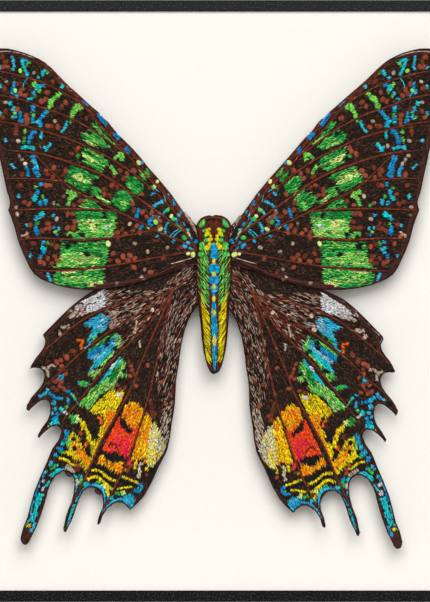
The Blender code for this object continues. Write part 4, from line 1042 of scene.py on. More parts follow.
class Cloth:
    """A flat wing to be stitched: its outline, its face and its grain, in millimetres round the frame's centre."""

    GRID = 1.5               # between the places where the grain is surveyed

    def __init__(self, node, place, guides, swell, seed):
        self.node = node
        self.place = place
        felt = even_steps(close_loop(cad_outline(node)), 0.8)[:-1]
        reach = millimetres(bpy.context.scene.moth_stitches.overhang) + swell(felt)
        self.outline = felt - loop_inward(felt) * reach[:, None]
        self.face = -millimetres(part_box(node)[1].y) + PANEL
        self.box = ThreadBox(seed)
        self.dice = self.box.dice
        self.sizes = bpy.context.scene.moth_stitches
        lines = [smooth_route(place(route), 2.0)[::-1] for route in guides]
        self.guides = [(line, headings(line)) for line in lines]
        self.corner = self.outline.min(axis=0) - 2
        steps = ((self.outline.max(axis=0) + 4 - self.corner) / self.GRID).astype(int)
        columns, rows = np.meshgrid(np.arange(steps[0]), np.arange(steps[1]), indexing="ij")
        spots = np.stack([columns.ravel(), rows.ravel()], axis=1) * self.GRID + self.corner
        self.field = self.survey_grain(spots).reshape(steps[0], steps[1], 2)
        self.covered = Raster(self.outline)
        self.within, self.edge_marks = Raster(self.outline), Raster(self.outline)
        self.within.mark(self.outline)
        self.ground, self.pattern, self.knots, self.cords = Sewing(), Sewing(), Sewing(), Sewing()

    def survey_grain(self, points):
        """The direction of the stitches, which follow the nearest veins outwards from the root."""
        total = np.zeros((len(points), 2))
        for line, directions in self.guides:
            gaps = np.linalg.norm(points[:, None] - line[None], axis=2)
            nearest = gaps.argmin(axis=1)
            weight = 1 / (gaps[np.arange(len(points)), nearest] ** 2 + 1.0)
            total += directions[nearest] * weight[:, None]
        return total

    def grain(self, points):
        """The surveyed direction at the points, between the four nearest surveyed places."""
        spot = ((points - self.corner) / self.GRID).clip(0, np.array(self.field.shape[:2]) - 1.001)
        i, j = spot.astype(int).T
        u, v = (spot - spot.astype(int)).T[..., None]
        field = self.field
        total = field[i, j] * (1 - u) * (1 - v) + field[i + 1, j] * u * (1 - v)
        total = total + field[i, j + 1] * (1 - u) * v + field[i + 1, j + 1] * u * v
        return total / np.linalg.norm(total, axis=1)[:, None].clip(1e-9)

    def lay(self, sewing, middles, directions, lengths, width, height, colours, lift=0.0):
        """Adds flat stitches to a sewing, by their middles, directions and lengths."""
        half = directions * np.broadcast_to(lengths, len(middles))[:, None] / 2
        depth = np.full(len(middles), -(self.face - 0.04)) - lift
        starts, ends = middles - half, middles + half
        ends_3d = [np.stack([flat[:, 0], depth, flat[:, 1]], axis=1) for flat in (starts, ends)]
        moved = [flat + (millimetres(CENTRE.x), 0, millimetres(CENTRE.z)) for flat in ends_3d]
        sewing.add(*moved, (0, -1, 0), width, height, colours)

    def fill(self, outline, palette, length=None, width=None, ragged=None, share=0.96, streaks=0.35, packing=0.82):
        """Satin stitches side by side over an outline, along the grain, where nothing covers them yet. Stitches in
        one row often share a shade, as streaks says. Packing is the rows' distance by the strands' width."""
        length = length or millimetres(self.sizes.satin_length)
        width = width or millimetres(self.sizes.satin_width)
        ragged = millimetres(self.sizes.ragged) if ragged is None else ragged
        middle = outline.mean(axis=0)
        along = self.grain(middle[None])[0]
        aside = np.array((-along[1], along[0]))
        local = (outline - middle) @ np.stack([along, aside], axis=1)
        middles, lengths, shades = [], [], []
        shade = self.box.draw(palette, 1)[0]
        for row in np.arange(local[:, 1].min() + width * 0.3, local[:, 1].max(), width * packing):
            if self.dice.random() < 0.5:
                shade = self.box.draw(palette, 1)[0]
            for start, end in row_spans(local, row):
                start -= self.dice.uniform(-0.45, 1.0) * ragged
                end += self.dice.uniform(-0.45, 1.0) * ragged
                if end - start < 0.4:
                    continue
                pieces = max(1, round((end - start) / (length * self.dice.uniform(0.8, 1.25))))
                cuts = np.linspace(start, end, pieces + 1)
                cuts[1:-1] += self.dice.uniform(-0.35, 0.35, pieces - 1) * (end - start) / pieces
                own = self.box.draw(palette, pieces)
                own[self.dice.random(pieces) < streaks] = shade
                middles += [((a + b) / 2, row + self.dice.uniform(-0.1, 0.1) * width) for a, b in zip(cuts, cuts[1:])]
                lengths += [max(b - a + 0.3, 0.8) for a, b in zip(cuts, cuts[1:])]
                shades += list(own)
        if not middles:
            return
        places = middle + np.array(middles) @ np.stack([along, aside])
        kept = ~self.covered.at(places) & (self.dice.random(len(places)) < share)
        self.covered.mark(outline)
        places, lengths, shades = places[kept], np.array(lengths)[kept], np.array(shades)[kept]
        directions = turned(self.grain(places), self.dice.normal(0, 0.14, len(places)))
        places, lengths, held = self.keep_within(places, directions, lengths)
        heights = millimetres(self.sizes.satin_height) * self.dice.uniform(0.55, 1.4, len(places))
        self.lay(self.pattern, places[held], directions[held], lengths[held], width, heights[held], shades[held])

    def line(self, route, palette):
        """One row of strands, end to end along a route."""
        line = smooth_route(route, 1.2)
        directions = turned(headings(line), self.dice.normal(0, 0.1, len(line)))
        heights = millimetres(self.sizes.satin_height) * self.dice.uniform(1.5, 1.8, len(line))
        self.lay(self.pattern, line, directions, self.dice.uniform(1.7, 2.1, len(line)), 0.6, heights,
                 self.box.draw(palette, len(line)))
        self.covered.mark(band_outline(line, 0.5))

    def keep_within(self, places, directions, lengths):
        """Shortens the strands that cross the wing's edge. Returns the strands and which of them fit."""
        for _ in range(3):
            half = directions * lengths[:, None] / 2
            first, last = self.within.at(places - half), self.within.at(places + half)
            shorter = lengths * np.where(first & last, 1.0, 0.65)
            shift = (last.astype(float) - first) * (lengths - shorter) / 2
            places, lengths = places + directions * shift[:, None], shorter
        half = directions * lengths[:, None] / 2
        return places, lengths, self.within.at(places - half) & self.within.at(places + half)

    def knot(self, middle, radius, palette):
        """A round knot: a few fat strands side by side, each as long as the knot is wide there."""
        middle = np.asarray(middle, float)
        radius *= self.dice.uniform(0.9, 1.15)
        width = millimetres(self.sizes.knot_width)
        count = max(3, round(2 * radius / (width * 0.85)))
        rows = (np.arange(count) + 0.5) / count * 2 - 1
        turn = self.dice.uniform(0, pi)
        along, aside = np.array((cos(turn), sin(turn))), np.array((-sin(turn), cos(turn)))
        places = middle + rows[:, None] * radius * aside
        lengths = 2 * radius * np.sqrt(1 - (rows * 0.92) ** 2) * 1.12
        heights = millimetres(self.sizes.knot_height) * np.sqrt(1 - (rows * 0.8) ** 2)
        colours = (self.box.draw(palette, count) + 2 * self.box.draw(palette, 1)) / 3
        self.lay(self.knots, places, np.broadcast_to(along, (count, 2)), lengths, width * 1.2, heights, colours)
        self.covered.mark(round_outline(middle, radius * 0.8))

    def cord(self, line, width, palette, height=0.62, slant=0.24, taper=0.0, other=("", None)):
        """A corded line: short overlapping strands laid at a slant along it, like a twisted cord. It thins out
        towards its outer end, over as many millimetres as taper says, stays inside the wing's rim and leaves out the
        marks on the rim. Other names a second palette and the test for the places where it is used."""
        line = even_steps(line, 0.46)
        run = np.arange(len(line)) * 0.46
        size = 0.5 + 0.5 * (run / taper).clip(0, 1) if taper else np.ones(len(line))
        directions = turned(headings(line), slant + self.dice.normal(0, 0.03, len(line)))
        lengths = self.dice.uniform(1.9, 2.3, len(line)) * (0.6 + 0.4 * width * size)
        line, lengths, held = self.keep_within(line, directions, lengths)
        held &= ~self.edge_marks.at(line)
        heights = height * self.dice.uniform(0.93, 1.07, len(line)) * (0.3 + 0.7 * size)
        colours = self.box.draw(palette, len(line))
        if other[1]:
            here = other[1](line)
            colours[here] = self.box.draw(other[0], here.sum())
        self.lay(self.cords, line[held], directions[held], lengths[held], (width * 0.72 * size)[held], heights[held],
                 colours[held])

    def fill_ground(self, bands):
        """Short ground stitches wherever no marking lies, and long ones in the bands along the rim. Each band has
        its width, its palette and a test for the places where it runs."""
        width = millimetres(self.sizes.ground_width)
        length = millimetres(self.sizes.ground_length)
        low, high = self.outline.min(axis=0), self.outline.max(axis=0)
        step = np.array((0.64, 0.64))
        columns, rows = np.meshgrid(np.arange(low[0], high[0], step[0]), np.arange(low[1], high[1], step[1]))
        places = np.stack([columns.ravel(), rows.ravel()], axis=1)
        places = places + self.dice.uniform(-0.5, 0.5, places.shape) * step
        places = places[inside(places, self.outline) & ~self.covered.at(places)]
        gaps, edges = nearest_on_loop(places, self.outline)
        places, gaps, edges = places[gaps > 0.35], gaps[gaps > 0.35], edges[gaps > 0.35]
        count = len(places)
        directions = turned(self.grain(places), self.dice.normal(0, self.sizes.stray, count))
        lengths = length * self.dice.uniform(0.6, 1.35, count)
        colours = self.box.draw("ground", count)
        on_band = np.zeros(count, bool)
        for band, palette, edge_only in bands:
            here = (gaps < band) & edge_only(places)
            directions[here] = turned(edges, self.dice.normal(0, 0.06, count))[here]
            lengths[here] = (length * self.dice.uniform(1.3, 2.0, count))[here]
            colours[here] = self.box.draw(palette, count)[here]
            on_band |= here
        lengths = np.minimum(lengths, np.where(on_band, 9.0, 2.2 * gaps + 0.3))
        height = millimetres(self.sizes.ground_height) * self.dice.uniform(0.7, 1.3, count)
        self.lay(self.ground, places, directions, lengths, width, height, colours)

    def bind_rim(self, front=None):
        """The corded rim, a little inside the outline. Front tells where it is reddish brown."""
        width = millimetres(self.sizes.rim_width)
        line = close_loop(self.outline + loop_inward(self.outline) * width * 0.5)
        self.cord(line, width, "rim", height=0.5, other=("front rim", front))

    def finish(self, strands, material, slot):
        fine, full = strands
        self.ground.join(f"{self.node}_ground_stitches", fine, material, slot)
        self.pattern.join(f"{self.node}_pattern", fine, material, slot)
        self.knots.join(f"{self.node}_knots", full, material, slot)
        self.cords.join(f"{self.node}_cords", full, material, slot)


class Raster:
    """Remembers which places of a wing are already stitched."""

    CELL = 0.25

    def __init__(self, outline):
        self.low = outline.min(axis=0) - 2
        size = ((outline.max(axis=0) + 2 - self.low) / self.CELL).astype(int) + 1
        self.cells = np.zeros(size, bool)

    def at(self, points):
        k = ((points - self.low) / self.CELL).astype(int).clip(0, np.array(self.cells.shape) - 1)
        return self.cells[k[:, 0], k[:, 1]]

    def mark(self, outline):
        first = ((outline.min(axis=0) - self.low) / self.CELL).astype(int).clip(0)
        last = ((outline.max(axis=0) - self.low) / self.CELL).astype(int) + 1
        last = np.minimum(last, np.array(self.cells.shape))
        i, j = np.meshgrid(np.arange(first[0], last[0]), np.arange(first[1], last[1]), indexing="ij")
        middles = np.stack([i.ravel(), j.ravel()], axis=1) * self.CELL + self.low + self.CELL / 2
        held = inside(middles, outline)
        self.cells[i.ravel()[held], j.ravel()[held]] = True


def close_loop(loop):
    return np.concatenate([loop, loop[:1]])


def row_spans(outline, row):
    """Where a level line runs inside an outline, as start and end pairs."""
    x, y = outline[:, 0], outline[:, 1]
    bx, by = np.roll(x, -1), np.roll(y, -1)
    hit = (y > row) != (by > row)
    crossings = np.sort(x[hit] + (row - y[hit]) * (bx[hit] - x[hit]) / (by[hit] - y[hit]))
    return list(zip(crossings[0::2], crossings[1::2]))


def left_place(points):
    return np.asarray(points, float) * (-1, 1)


def right_place(points):
    return np.asarray(points, float)


def right_hindwing_place(points):
    out, up = (np.asarray(points, float) - HINDWING_ROOT).T
    x = HINDWING_ROOT[0] - RIGHT_INWARD + out * cos(RIGHT_TURN) + up * sin(RIGHT_TURN)
    z = HINDWING_ROOT[1] - RIGHT_DROP - out * sin(RIGHT_TURN) + up * cos(RIGHT_TURN)
    return np.stack([x, z], axis=1)


def stitch_marks(cloth, patches, columns, knots):
    """Lays a wing's marks, the topmost first, so that each lower one stops at those above it."""
    for palette, radius, places in knots:
        for place in cloth.place(places):
            cloth.knot(place, radius, palette)
    for palette, width, route in reversed(columns):
        if width < THIN_MARK:
            cloth.line(cloth.place(route), palette)
            continue
        line = smooth_route(cloth.place(route), 1.0)
        band = band_outline(line, width * cloth.dice.uniform(0.6, 1.25, len(line)))
        cloth.fill(band, palette, ragged=0.6, **FAT_STITCHES.get(palette, {}))
    for palette, outline in reversed(patches):
        cloth.fill(cloth.place(outline), palette, **FAT_STITCHES.get(palette, {}))


def along_out(table, at):
    """The table's value at places, by their distance from the body's middle line."""
    return np.interp(np.abs(at[:, 0]), *zip(*table))


def in_front(at):
    """Which places of a forewing lie along its front edge."""
    return at[:, 1] > along_out(FRONT_LINE, at)


def sew_forewing(side, strands, material):
    place = left_place if side < 0 else right_place
    name = "left" if side < 0 else "right"
    guides = [*FOREWING_VEINS, FOREWING_LOW_VEIN, FOREWING_MAIN_VEIN]
    table = FOREWING_SWELL[side]
    cloth = Cloth(f"forewing_{name}", place, guides, lambda at: along_out(table, at) * in_front(at), seed=11 + side)
    sizes = cloth.sizes
    for palette, outline in FOREWING_EDGE_PATCHES:
        cloth.fill(place(outline), palette, ragged=0.3)
        cloth.edge_marks.mark(place(outline))
    stitch_marks(cloth, FOREWING_PATCHES, FOREWING_COLUMNS, FOREWING_KNOTS)
    band = millimetres(sizes.band_width)
    cloth.fill_ground([
        (band, "band", lambda at: (np.abs(at[:, 0]) > 88) | (at[:, 1] < 14)),
        (millimetres(sizes.edge_band_width), "edge band", lambda at: (np.abs(at[:, 0]) <= 88) & in_front(at)),
    ])
    for route in FOREWING_VEINS:
        cloth.cord(smooth_route(place(route), 0.5), millimetres(sizes.cord_width), "cord", taper=16)
    cloth.cord(smooth_route(place(FOREWING_MAIN_VEIN), 0.5), millimetres(sizes.main_cord_width), "cord", height=0.8,
               taper=20)
    cloth.cord(smooth_route(place(FOREWING_LOW_VEIN), 0.5), millimetres(sizes.cord_width) * 0.8, "low cord")
    cloth.cord(smooth_route(place(FOREWING_ROOT_LINE), 0.5), 2.1, "taupe", height=0.6)
    cloth.cord(smooth_route(place(FOREWING_TIP_LINE), 0.5), 0.6, "taupe", height=0.4)
    cloth.bind_rim(lambda at: (np.abs(at[:, 0]) < 88) & (at[:, 1] > np.abs(at[:, 0])))
    cloth.finish(strands, material, "wing_thread")


def sew_hindwing(side, strands, material):
    place = left_place if side < 0 else right_hindwing_place
    name = "left" if side < 0 else "right"
    guides = [*HINDWING_VEINS, HINDWING_MAIN_VEIN, HINDWING_TAIL_LINE]
    table = HINDWING_SWELL[side]
    cloth = Cloth(
        f"hindwing_{name}", place, guides,
        lambda at: np.interp(at[:, 1], *zip(*table)) * (np.abs(at[:, 0]) > 56), seed=21 + side,
    )
    sizes = cloth.sizes
    stitch_marks(cloth, HINDWING_PATCHES, HINDWING_COLUMNS, HINDWING_KNOTS)
    for palette, outline in HINDWING_HAIR:
        cloth.fill(place(outline), palette, length=2.4, width=0.31, ragged=2.0, streaks=0.2)
    cloth.fill_ground([
        (1.3, "band", lambda at: np.ones(len(at), bool)),
        (2.4, "band", lambda at: (np.abs(at[:, 0]) > 62) & (at[:, 1] > -28)),
        (4.0, "band", lambda at: (np.abs(at[:, 0]) > 88) & (at[:, 1] < -114)),
    ])
    for route in HINDWING_VEINS:
        cloth.cord(smooth_route(place(route), 0.5), millimetres(sizes.cord_width), "cord", taper=24)
    cloth.cord(smooth_route(place(HINDWING_MAIN_VEIN), 0.5), millimetres(sizes.main_cord_width) * 0.9, "cord",
               taper=30)
    cloth.bind_rim()
    cloth.finish(strands, material, "wing_thread")


# The body's stations from the head to the tip, in millimetres: (up, half width, height of the padded front)
BODY_STATIONS = [
    (43.1, 3.2, 2.1), (42.5, 5.0, 3.1), (41.6, 6.5, 3.9), (40.5, 7.5, 4.4), (38.6, 8.5, 4.9), (36.8, 8.8, 5.0),
    (33.4, 8.0, 4.8), (30.0, 7.4, 5.1), (26.5, 7.9, 5.6), (21.4, 8.8, 6.0), (14.6, 9.0, 6.1), (8.3, 8.5, 5.9),
    (2.0, 7.9, 5.4), (-3.4, 7.4, 5.0), (-11.0, 6.85, 4.7), (-17.6, 6.35, 4.4), (-23.7, 5.6, 3.9), (-26.7, 5.05, 3.5),
    (-29.7, 4.35, 3.1), (-32.8, 3.4, 2.5), (-35.2, 2.35, 1.7), (-36.5, 1.3, 1.0),
]
BODY_TOP = 43.4
BODY_TIP = -37.2
BODY_SEGMENTS = 40
# Rows of slanting feather stitches: palette, first and last up, spacing, outer and inner share of the half width,
# how steeply they fall, and the strand's width
BODY_FEATHERS = [
    ("green feather", 26.5, 0.0, 1.35, 0.78, 0.58, 1.7, 0.4),
    ("green feather", 27.5, -1.0, 1.3, 0.62, 0.42, 1.6, 0.4),
    ("green feather", 27.5, -2.0, 1.35, 0.46, 0.26, 1.5, 0.4),
    ("green feather", 24.5, 4.0, 3.1, 0.95, 0.72, 1.8, 0.42),
    ("lime", 25.0, 0.0, 2.6, 0.6, 0.42, 1.8, 0.36),
    ("yellow feather", 5.5, -28.5, 0.8, 0.86, 0.42, 1.6, 0.42),
    ("yellow feather", -3.0, -29.0, 0.8, 0.62, 0.26, 1.5, 0.42),
    ("olive feather", 4.0, -27.0, 2.0, 0.84, 0.4, 1.6, 0.34),
]
LEAN = [(-13, 0.35), (-5, 0.0)]     # the lower body stands a little to the right, as (up, more)
STITCH_ROOM = 0.3        # the padding stays this much lower than the body, which the stitches fill


def lean(up):
    return float(np.interp(up, *zip(*LEAN)))


def model_body(name):
    """The padding: a ring drawn out through the body's stations, cut flat at the back and closed at both ends."""
    back = millimetres(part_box("moth_body")[1].y)
    deselect_all()
    bpy.ops.mesh.primitive_circle_add(vertices=BODY_SEGMENTS, radius=1.0)
    ob = bpy.context.object
    bpy.ops.object.mode_set(mode="EDIT")
    bpy.ops.mesh.select_all(action="SELECT")
    width, depth, height, middle = 1.0, 1.0, 0.0, 0.0
    stations = [(BODY_TOP - STITCH_ROOM, 0.05, 0.05), *BODY_STATIONS, (BODY_TIP + STITCH_ROOM, 0.05, 0.05)]
    for number, (up, half_width, front) in enumerate(stations):
        if number:
            bpy.ops.mesh.extrude_region_move()
        half_width = max(half_width - STITCH_ROOM / 3, 0.05)
        front = max(front - STITCH_ROOM, 0.05)
        bpy.ops.transform.translate(value=(lean(up) - middle, 0, up - height))
        middle = lean(up)
        bpy.ops.transform.resize(value=(half_width / width, front / depth, 1), center_override=(middle, 0, up))
        width, depth, height = half_width, front, up
    bpy.ops.mesh.select_all(action="SELECT")
    bpy.ops.mesh.bisect(plane_co=(0, 0, 0), plane_no=(0, 1, 0), use_fill=False, clear_outer=True)
    bpy.ops.mesh.select_all(action="DESELECT")
    bpy.ops.mesh.select_non_manifold()
    bpy.ops.mesh.fill()
    bpy.ops.mesh.select_all(action="SELECT")
    bpy.ops.mesh.normals_make_consistent(inside=False)
    bpy.ops.mesh.quads_convert_to_tris()
    bpy.ops.mesh.tris_convert_to_quads()
    bpy.ops.object.mode_set(mode="OBJECT")
    ob.name = name
    ob.data.name = name
    ob.data.transform(Matrix.Translation((0, back, millimetres(CENTRE.z))))
    ob.data.transform(Matrix.Scale(MM, 4))
    bpy.ops.object.shade_smooth()
    return ob


class PaddedCloth:
    """The body's rounded face to be stitched. Flat patterns are laid onto it from the front."""

    def __init__(self, ob, seed):
        self.tree = BVHTree.FromObject(ob, bpy.context.evaluated_depsgraph_get())
        self.box = ThreadBox(seed)
        self.dice = self.box.dice
        self.sizes = bpy.context.scene.moth_stitches
        self.stitches = Sewing()

    def half_width(self, up):
        ups, halves = zip(*[(station[0], station[1]) for station in reversed(BODY_STATIONS)])
        return np.interp(up, ups, halves)

    def onto(self, flat):
        """Places on the padding in front of flat places, with the padding's normals there."""
        places, normals = [], []
        for x, z in flat:
            limit = self.half_width(z) - STITCH_ROOM / 3 - 0.05
            start = Vector(((min(max(x, -limit), limit) + lean(z)) * MM, FRAME_FRONT - 0.1, z * MM + CENTRE.z))
            place, normal, _, _ = self.tree.ray_cast(start, Vector((0, 1, 0)))
            if place is None:
                place, normal, _, _ = self.tree.find_nearest(start)
            places.append(place)
            normals.append(normal)
        return np.array(places) / MM, np.array(normals)

    def lay(self, starts, ends, width, height, palette, lift=0.0):
        """Lays strands between flat places. A strand's ends are lifted off the padding by the same amount."""
        if not len(starts):
            return
        first, first_normals = self.onto(starts)
        last, last_normals = self.onto(ends)
        normals = first_normals + last_normals
        normals /= np.linalg.norm(normals, axis=1)[:, None]
        long_enough = np.linalg.norm(last - first, axis=1) > 0.2
        first, last, normals = first[long_enough], last[long_enough], normals[long_enough]
        heights = height * self.dice.uniform(0.85, 1.15, len(first))
        raised = normals * lift
        self.stitches.add(first + raised, last + raised, normals, width, heights,
                          self.box.draw(palette, len(first)))

    def cord(self, line, width, palette):
        line = even_steps(line, 0.46)
        slanted = turned(headings(line), np.full(len(line), 0.24))
        self.lay(line - slanted, line + slanted, width, 0.55, palette)

    def short_rows(self, outline, palette, direction, length, width, height, lift, spread=0.06):
        """Short stitches side by side over an outline, all along one direction."""
        along = np.asarray(direction, float) / np.linalg.norm(direction)
        aside = np.array((-along[1], along[0]))
        local = outline @ np.stack([along, aside], axis=1)
        middles, lengths = [], []
        for row in np.arange(local[:, 1].min() + width * 0.3, local[:, 1].max(), width * 0.8):
            for start, end in row_spans(local, row):
                pieces = max(1, round((end - start) / (length * self.dice.uniform(0.75, 1.3))))
                cuts = np.linspace(start, end, pieces + 1)
                cuts[1:-1] += self.dice.uniform(-0.3, 0.3, pieces - 1) * length
                for a, b in zip(cuts, cuts[1:]):
                    middles.append(((a + b) / 2, row))
                    lengths.append(b - a + 0.3)
        if not middles:
            return
        places = np.array(middles) @ np.stack([along, aside])
        turns = turned(np.broadcast_to(along, places.shape), self.dice.normal(0, spread, len(places)))
        half = turns * np.array(lengths)[:, None] / 2
        self.lay(places - half, places + half, width, height, palette, lift)


def body_outline(inset):
    """The body seen from the front, with its edge moved inwards."""
    right = [(half, up) for up, half, _ in BODY_STATIONS]
    left = [(-half, up) for half, up in reversed(right)]
    loop = even_steps(close_loop(np.array([(0, BODY_TOP), *right, (0, BODY_TIP), *left])), 0.46)[:-1]
    directions = headings(np.concatenate([loop[-1:], loop, loop[:1]]))[1:-1]
    return loop + directions[:, ::-1] * (1, -1) * inset


def sew_body(ob, strands, material):
    """Ground stitches down the body, then its eyes, yellow and green marks, feathers, blue chain and dashes."""
    cloth = PaddedCloth(ob, seed=31)
    dice = cloth.dice
    ground_width = millimetres(cloth.sizes.ground_width)
    satin_width = millimetres(cloth.sizes.satin_width)
    cloth.short_rows(body_outline(0.2), "body", (0, 1), 2.2, ground_width, 0.3, 0.0, spread=0.16)
    rim = body_outline(0.4)
    cloth.cord(close_loop(np.roll(rim, len(rim) // 2, axis=0)), 0.8, "rim")
    cloth.cord(smooth_route(BODY_HOOD, 0.46), 0.75, "hood")
    cloth.cord(smooth_route(BODY_SEAM, 0.46), 0.4, "rim")
    for side in SIDES.values():
        for palette, start_up, end_up, spacing, outer, inner, fall, width in BODY_FEATHERS:
            ups = np.arange(start_up, end_up, -spacing)
            ups = ups + dice.uniform(-0.35, 0.35, len(ups)) * spacing
            reach = cloth.half_width(ups) * outer * dice.uniform(0.94, 1.03, len(ups))
            goal = cloth.half_width(ups) * inner * dice.uniform(0.85, 1.15, len(ups))
            starts = np.stack([side * reach, ups], axis=1)
            ends = np.stack([side * goal, ups - fall * (reach - goal) * dice.uniform(0.85, 1.15, len(ups))], axis=1)
            cloth.lay(starts, ends, width, 0.5, palette, dice.uniform(0.1, 0.25))
        for x, up, radius in BODY_GREEN:
            cloth.short_rows(round_outline((side * x, up), radius), "green", (0.3 * side, 1), 2.0, satin_width, 0.5, 0.2)
        for x, up, radius in BODY_YELLOW:
            cloth.short_rows(round_outline((side * x, up), radius), "yellow feather", (0.5 * side, 1), 2.2,
                             satin_width, 0.6, 0.3)
        eye = np.array(BODY_EYE) * (side, 1)
        cloth.short_rows(eye, "eye", (0.35 * side, 1), 4.0, satin_width, 0.7, 0.25)
    for up, radius in BODY_BLUE_LOBES:
        cloth.short_rows(round_outline((0.15, up), radius), "blue", (1, 0.15), 2.6, satin_width, 0.6, 0.3)
    strip = np.array([(half, up) for up, half in BODY_BLUE_STRIP])
    strip = np.concatenate([strip, strip[::-1] * (-1, 1)])
    cloth.short_rows(strip, "blue", (0.1, 1), 2.4, satin_width, 0.55, 0.3)
    for up, length in BODY_DASHES:
        half = np.array([(0.4, up - length), (0.85, up), (0.4, up + length)])
        outline = np.concatenate([half, half[::-1] * (-1, 1)])
        cloth.short_rows(outline, "dash", (0, 1), 6.0, satin_width, 0.6, 0.62, spread=0.02)
    cloth.stitches.join("moth_body_stitches", strands[1], material, "body_thread")


def add_sockets(group, inputs, outputs):
    for name, kind, default in inputs:
        socket = group.interface.new_socket(name=name, in_out="INPUT", socket_type=kind)
        socket.default_value = default
    for name, kind in outputs:
        group.interface.new_socket(name=name, in_out="OUTPUT", socket_type=kind)


def new_node(tree, kind, place, **values):
    """A node of that kind, with its settings, and with the inputs that are named by their socket's name."""
    node = tree.nodes.new(kind)
    node.location = place
    for key, value in values.items():
        if hasattr(node, key):
            setattr(node, key, value)
        else:
            node.inputs[key.replace("_", " ").title()].default_value = value
    return node


def grain_group():
    """Fine speckle in Object coordinates: a mask that runs from 0 to 1, and a height for a Bump node."""
    group = bpy.data.node_groups.new("fine grain", "ShaderNodeTree")
    add_sockets(
        group,
        [("Scale", "NodeSocketFloat", 1500.0), ("Stretch", "NodeSocketVector", (1, 1, 1)),
         ("Detail", "NodeSocketFloat", 3.0), ("Low", "NodeSocketFloat", 0.4), ("High", "NodeSocketFloat", 0.65)],
        [("Mask", "NodeSocketFloat"), ("Height", "NodeSocketFloat")],
    )
    link = group.links.new
    given = new_node(group, "NodeGroupInput", (-800, 0))
    put_out = new_node(group, "NodeGroupOutput", (400, 0))
    where = new_node(group, "ShaderNodeTexCoord", (-800, -260))
    stretch = new_node(group, "ShaderNodeMapping", (-600, -120))
    noise = new_node(group, "ShaderNodeTexNoise", (-380, 0))
    sorted_out = new_node(group, "ShaderNodeMapRange", (-120, 0))
    link(where.outputs["Object"], stretch.inputs["Vector"])
    link(given.outputs["Stretch"], stretch.inputs["Scale"])
    link(stretch.outputs["Vector"], noise.inputs["Vector"])
    link(given.outputs["Scale"], noise.inputs["Scale"])
    link(given.outputs["Detail"], noise.inputs["Detail"])
    link(noise.outputs["Fac"], sorted_out.inputs["Value"])
    link(given.outputs["Low"], sorted_out.inputs["From Min"])
    link(given.outputs["High"], sorted_out.inputs["From Max"])
    link(sorted_out.outputs["Result"], put_out.inputs["Mask"])
    link(noise.outputs["Fac"], put_out.inputs["Height"])
    return group


def twist_group():
    """The turns of a spun thread along its own UV run: a height for a Bump node and a mask for painted shade, darker in
    the grooves between the plies and lighter on their ridges.
    """
    group = bpy.data.node_groups.new("thread twist", "ShaderNodeTree")
    add_sockets(
        group, [("Turns", "NodeSocketFloat", 1.6), ("Slant", "NodeSocketFloat", 0.9)],
        [("Mask", "NodeSocketFloat"), ("Height", "NodeSocketFloat")],
    )
    link = group.links.new
    given = new_node(group, "NodeGroupInput", (-900, 0))
    put_out = new_node(group, "NodeGroupOutput", (400, 0))
    run = new_node(group, "ShaderNodeUVMap", (-900, -200), uv_map="thread_run")
    parts = new_node(group, "ShaderNodeSeparateXYZ", (-700, -200))
    along = new_node(group, "ShaderNodeMath", (-500, 0), operation="MULTIPLY")
    aside = new_node(group, "ShaderNodeMath", (-500, -200), operation="MULTIPLY")
    both = new_node(group, "ShaderNodeMath", (-300, -100), operation="ADD")
    turn = new_node(group, "ShaderNodeMath", (-140, -100), operation="MULTIPLY")
    turn.inputs[1].default_value = 2 * pi
    wave = new_node(group, "ShaderNodeMath", (20, -100), operation="SINE")
    sorted_out = new_node(group, "ShaderNodeMapRange", (180, -100))
    sorted_out.inputs["From Min"].default_value = -1.0
    link(run.outputs["UV"], parts.inputs["Vector"])
    link(parts.outputs["X"], along.inputs[0])
    link(given.outputs["Turns"], along.inputs[1])
    link(parts.outputs["Y"], aside.inputs[0])
    link(given.outputs["Slant"], aside.inputs[1])
    link(along.outputs["Value"], both.inputs[0])
    link(aside.outputs["Value"], both.inputs[1])
    link(both.outputs["Value"], turn.inputs[0])
    link(turn.outputs["Value"], wave.inputs[0])
    link(wave.outputs["Value"], sorted_out.inputs["Value"])
    link(sorted_out.outputs["Result"], put_out.inputs["Mask"])
    link(sorted_out.outputs["Result"], put_out.inputs["Height"])
    return group


def shared_group(make, name):
    return bpy.data.node_groups.get(name) or make()


def grained_material(name, shade, light_shade, roughness, metallic=0.0, scale=1500.0, bump=0.0, distance=0.1,
                     detail=3.0, stretch=(1, 1, 1), low=0.4, high=0.65, gloss=0.5):
    """A finish whose colour, gloss and relief carry a fine grain."""
    material = bpy.data.materials.new(name)
    material.use_nodes = True
    tree = material.node_tree
    link = tree.links.new
    shader = tree.nodes["Principled BSDF"]
    shader.inputs["Metallic"].default_value = metallic
    shader.inputs["Specular IOR Level"].default_value = gloss
    grain = new_node(tree, "ShaderNodeGroup", (-700, 0), node_tree=shared_group(grain_group, "fine grain"))
    for key, value in (("Scale", scale), ("Stretch", stretch), ("Detail", detail), ("Low", low), ("High", high)):
        grain.inputs[key].default_value = value
    mix = new_node(tree, "ShaderNodeMix", (-400, 120), data_type="RGBA")
    mix.inputs["A"].default_value = colour(shade)
    mix.inputs["B"].default_value = colour(light_shade)
    rough = new_node(tree, "ShaderNodeMapRange", (-400, -80))
    rough.inputs["To Min"].default_value = roughness[0]
    rough.inputs["To Max"].default_value = roughness[1]
    relief = new_node(tree, "ShaderNodeBump", (-200, -260))
    relief.inputs["Strength"].default_value = bump
    relief.inputs["Distance"].default_value = distance * MM
    link(grain.outputs["Mask"], mix.inputs["Factor"])
    link(mix.outputs["Result"], shader.inputs["Base Color"])
    link(grain.outputs["Mask"], rough.inputs["Value"])
    link(rough.outputs["Result"], shader.inputs["Roughness"])
    link(grain.outputs["Height"], relief.inputs["Height"])
    link(relief.outputs["Normal"], shader.inputs["Normal"])
    return material


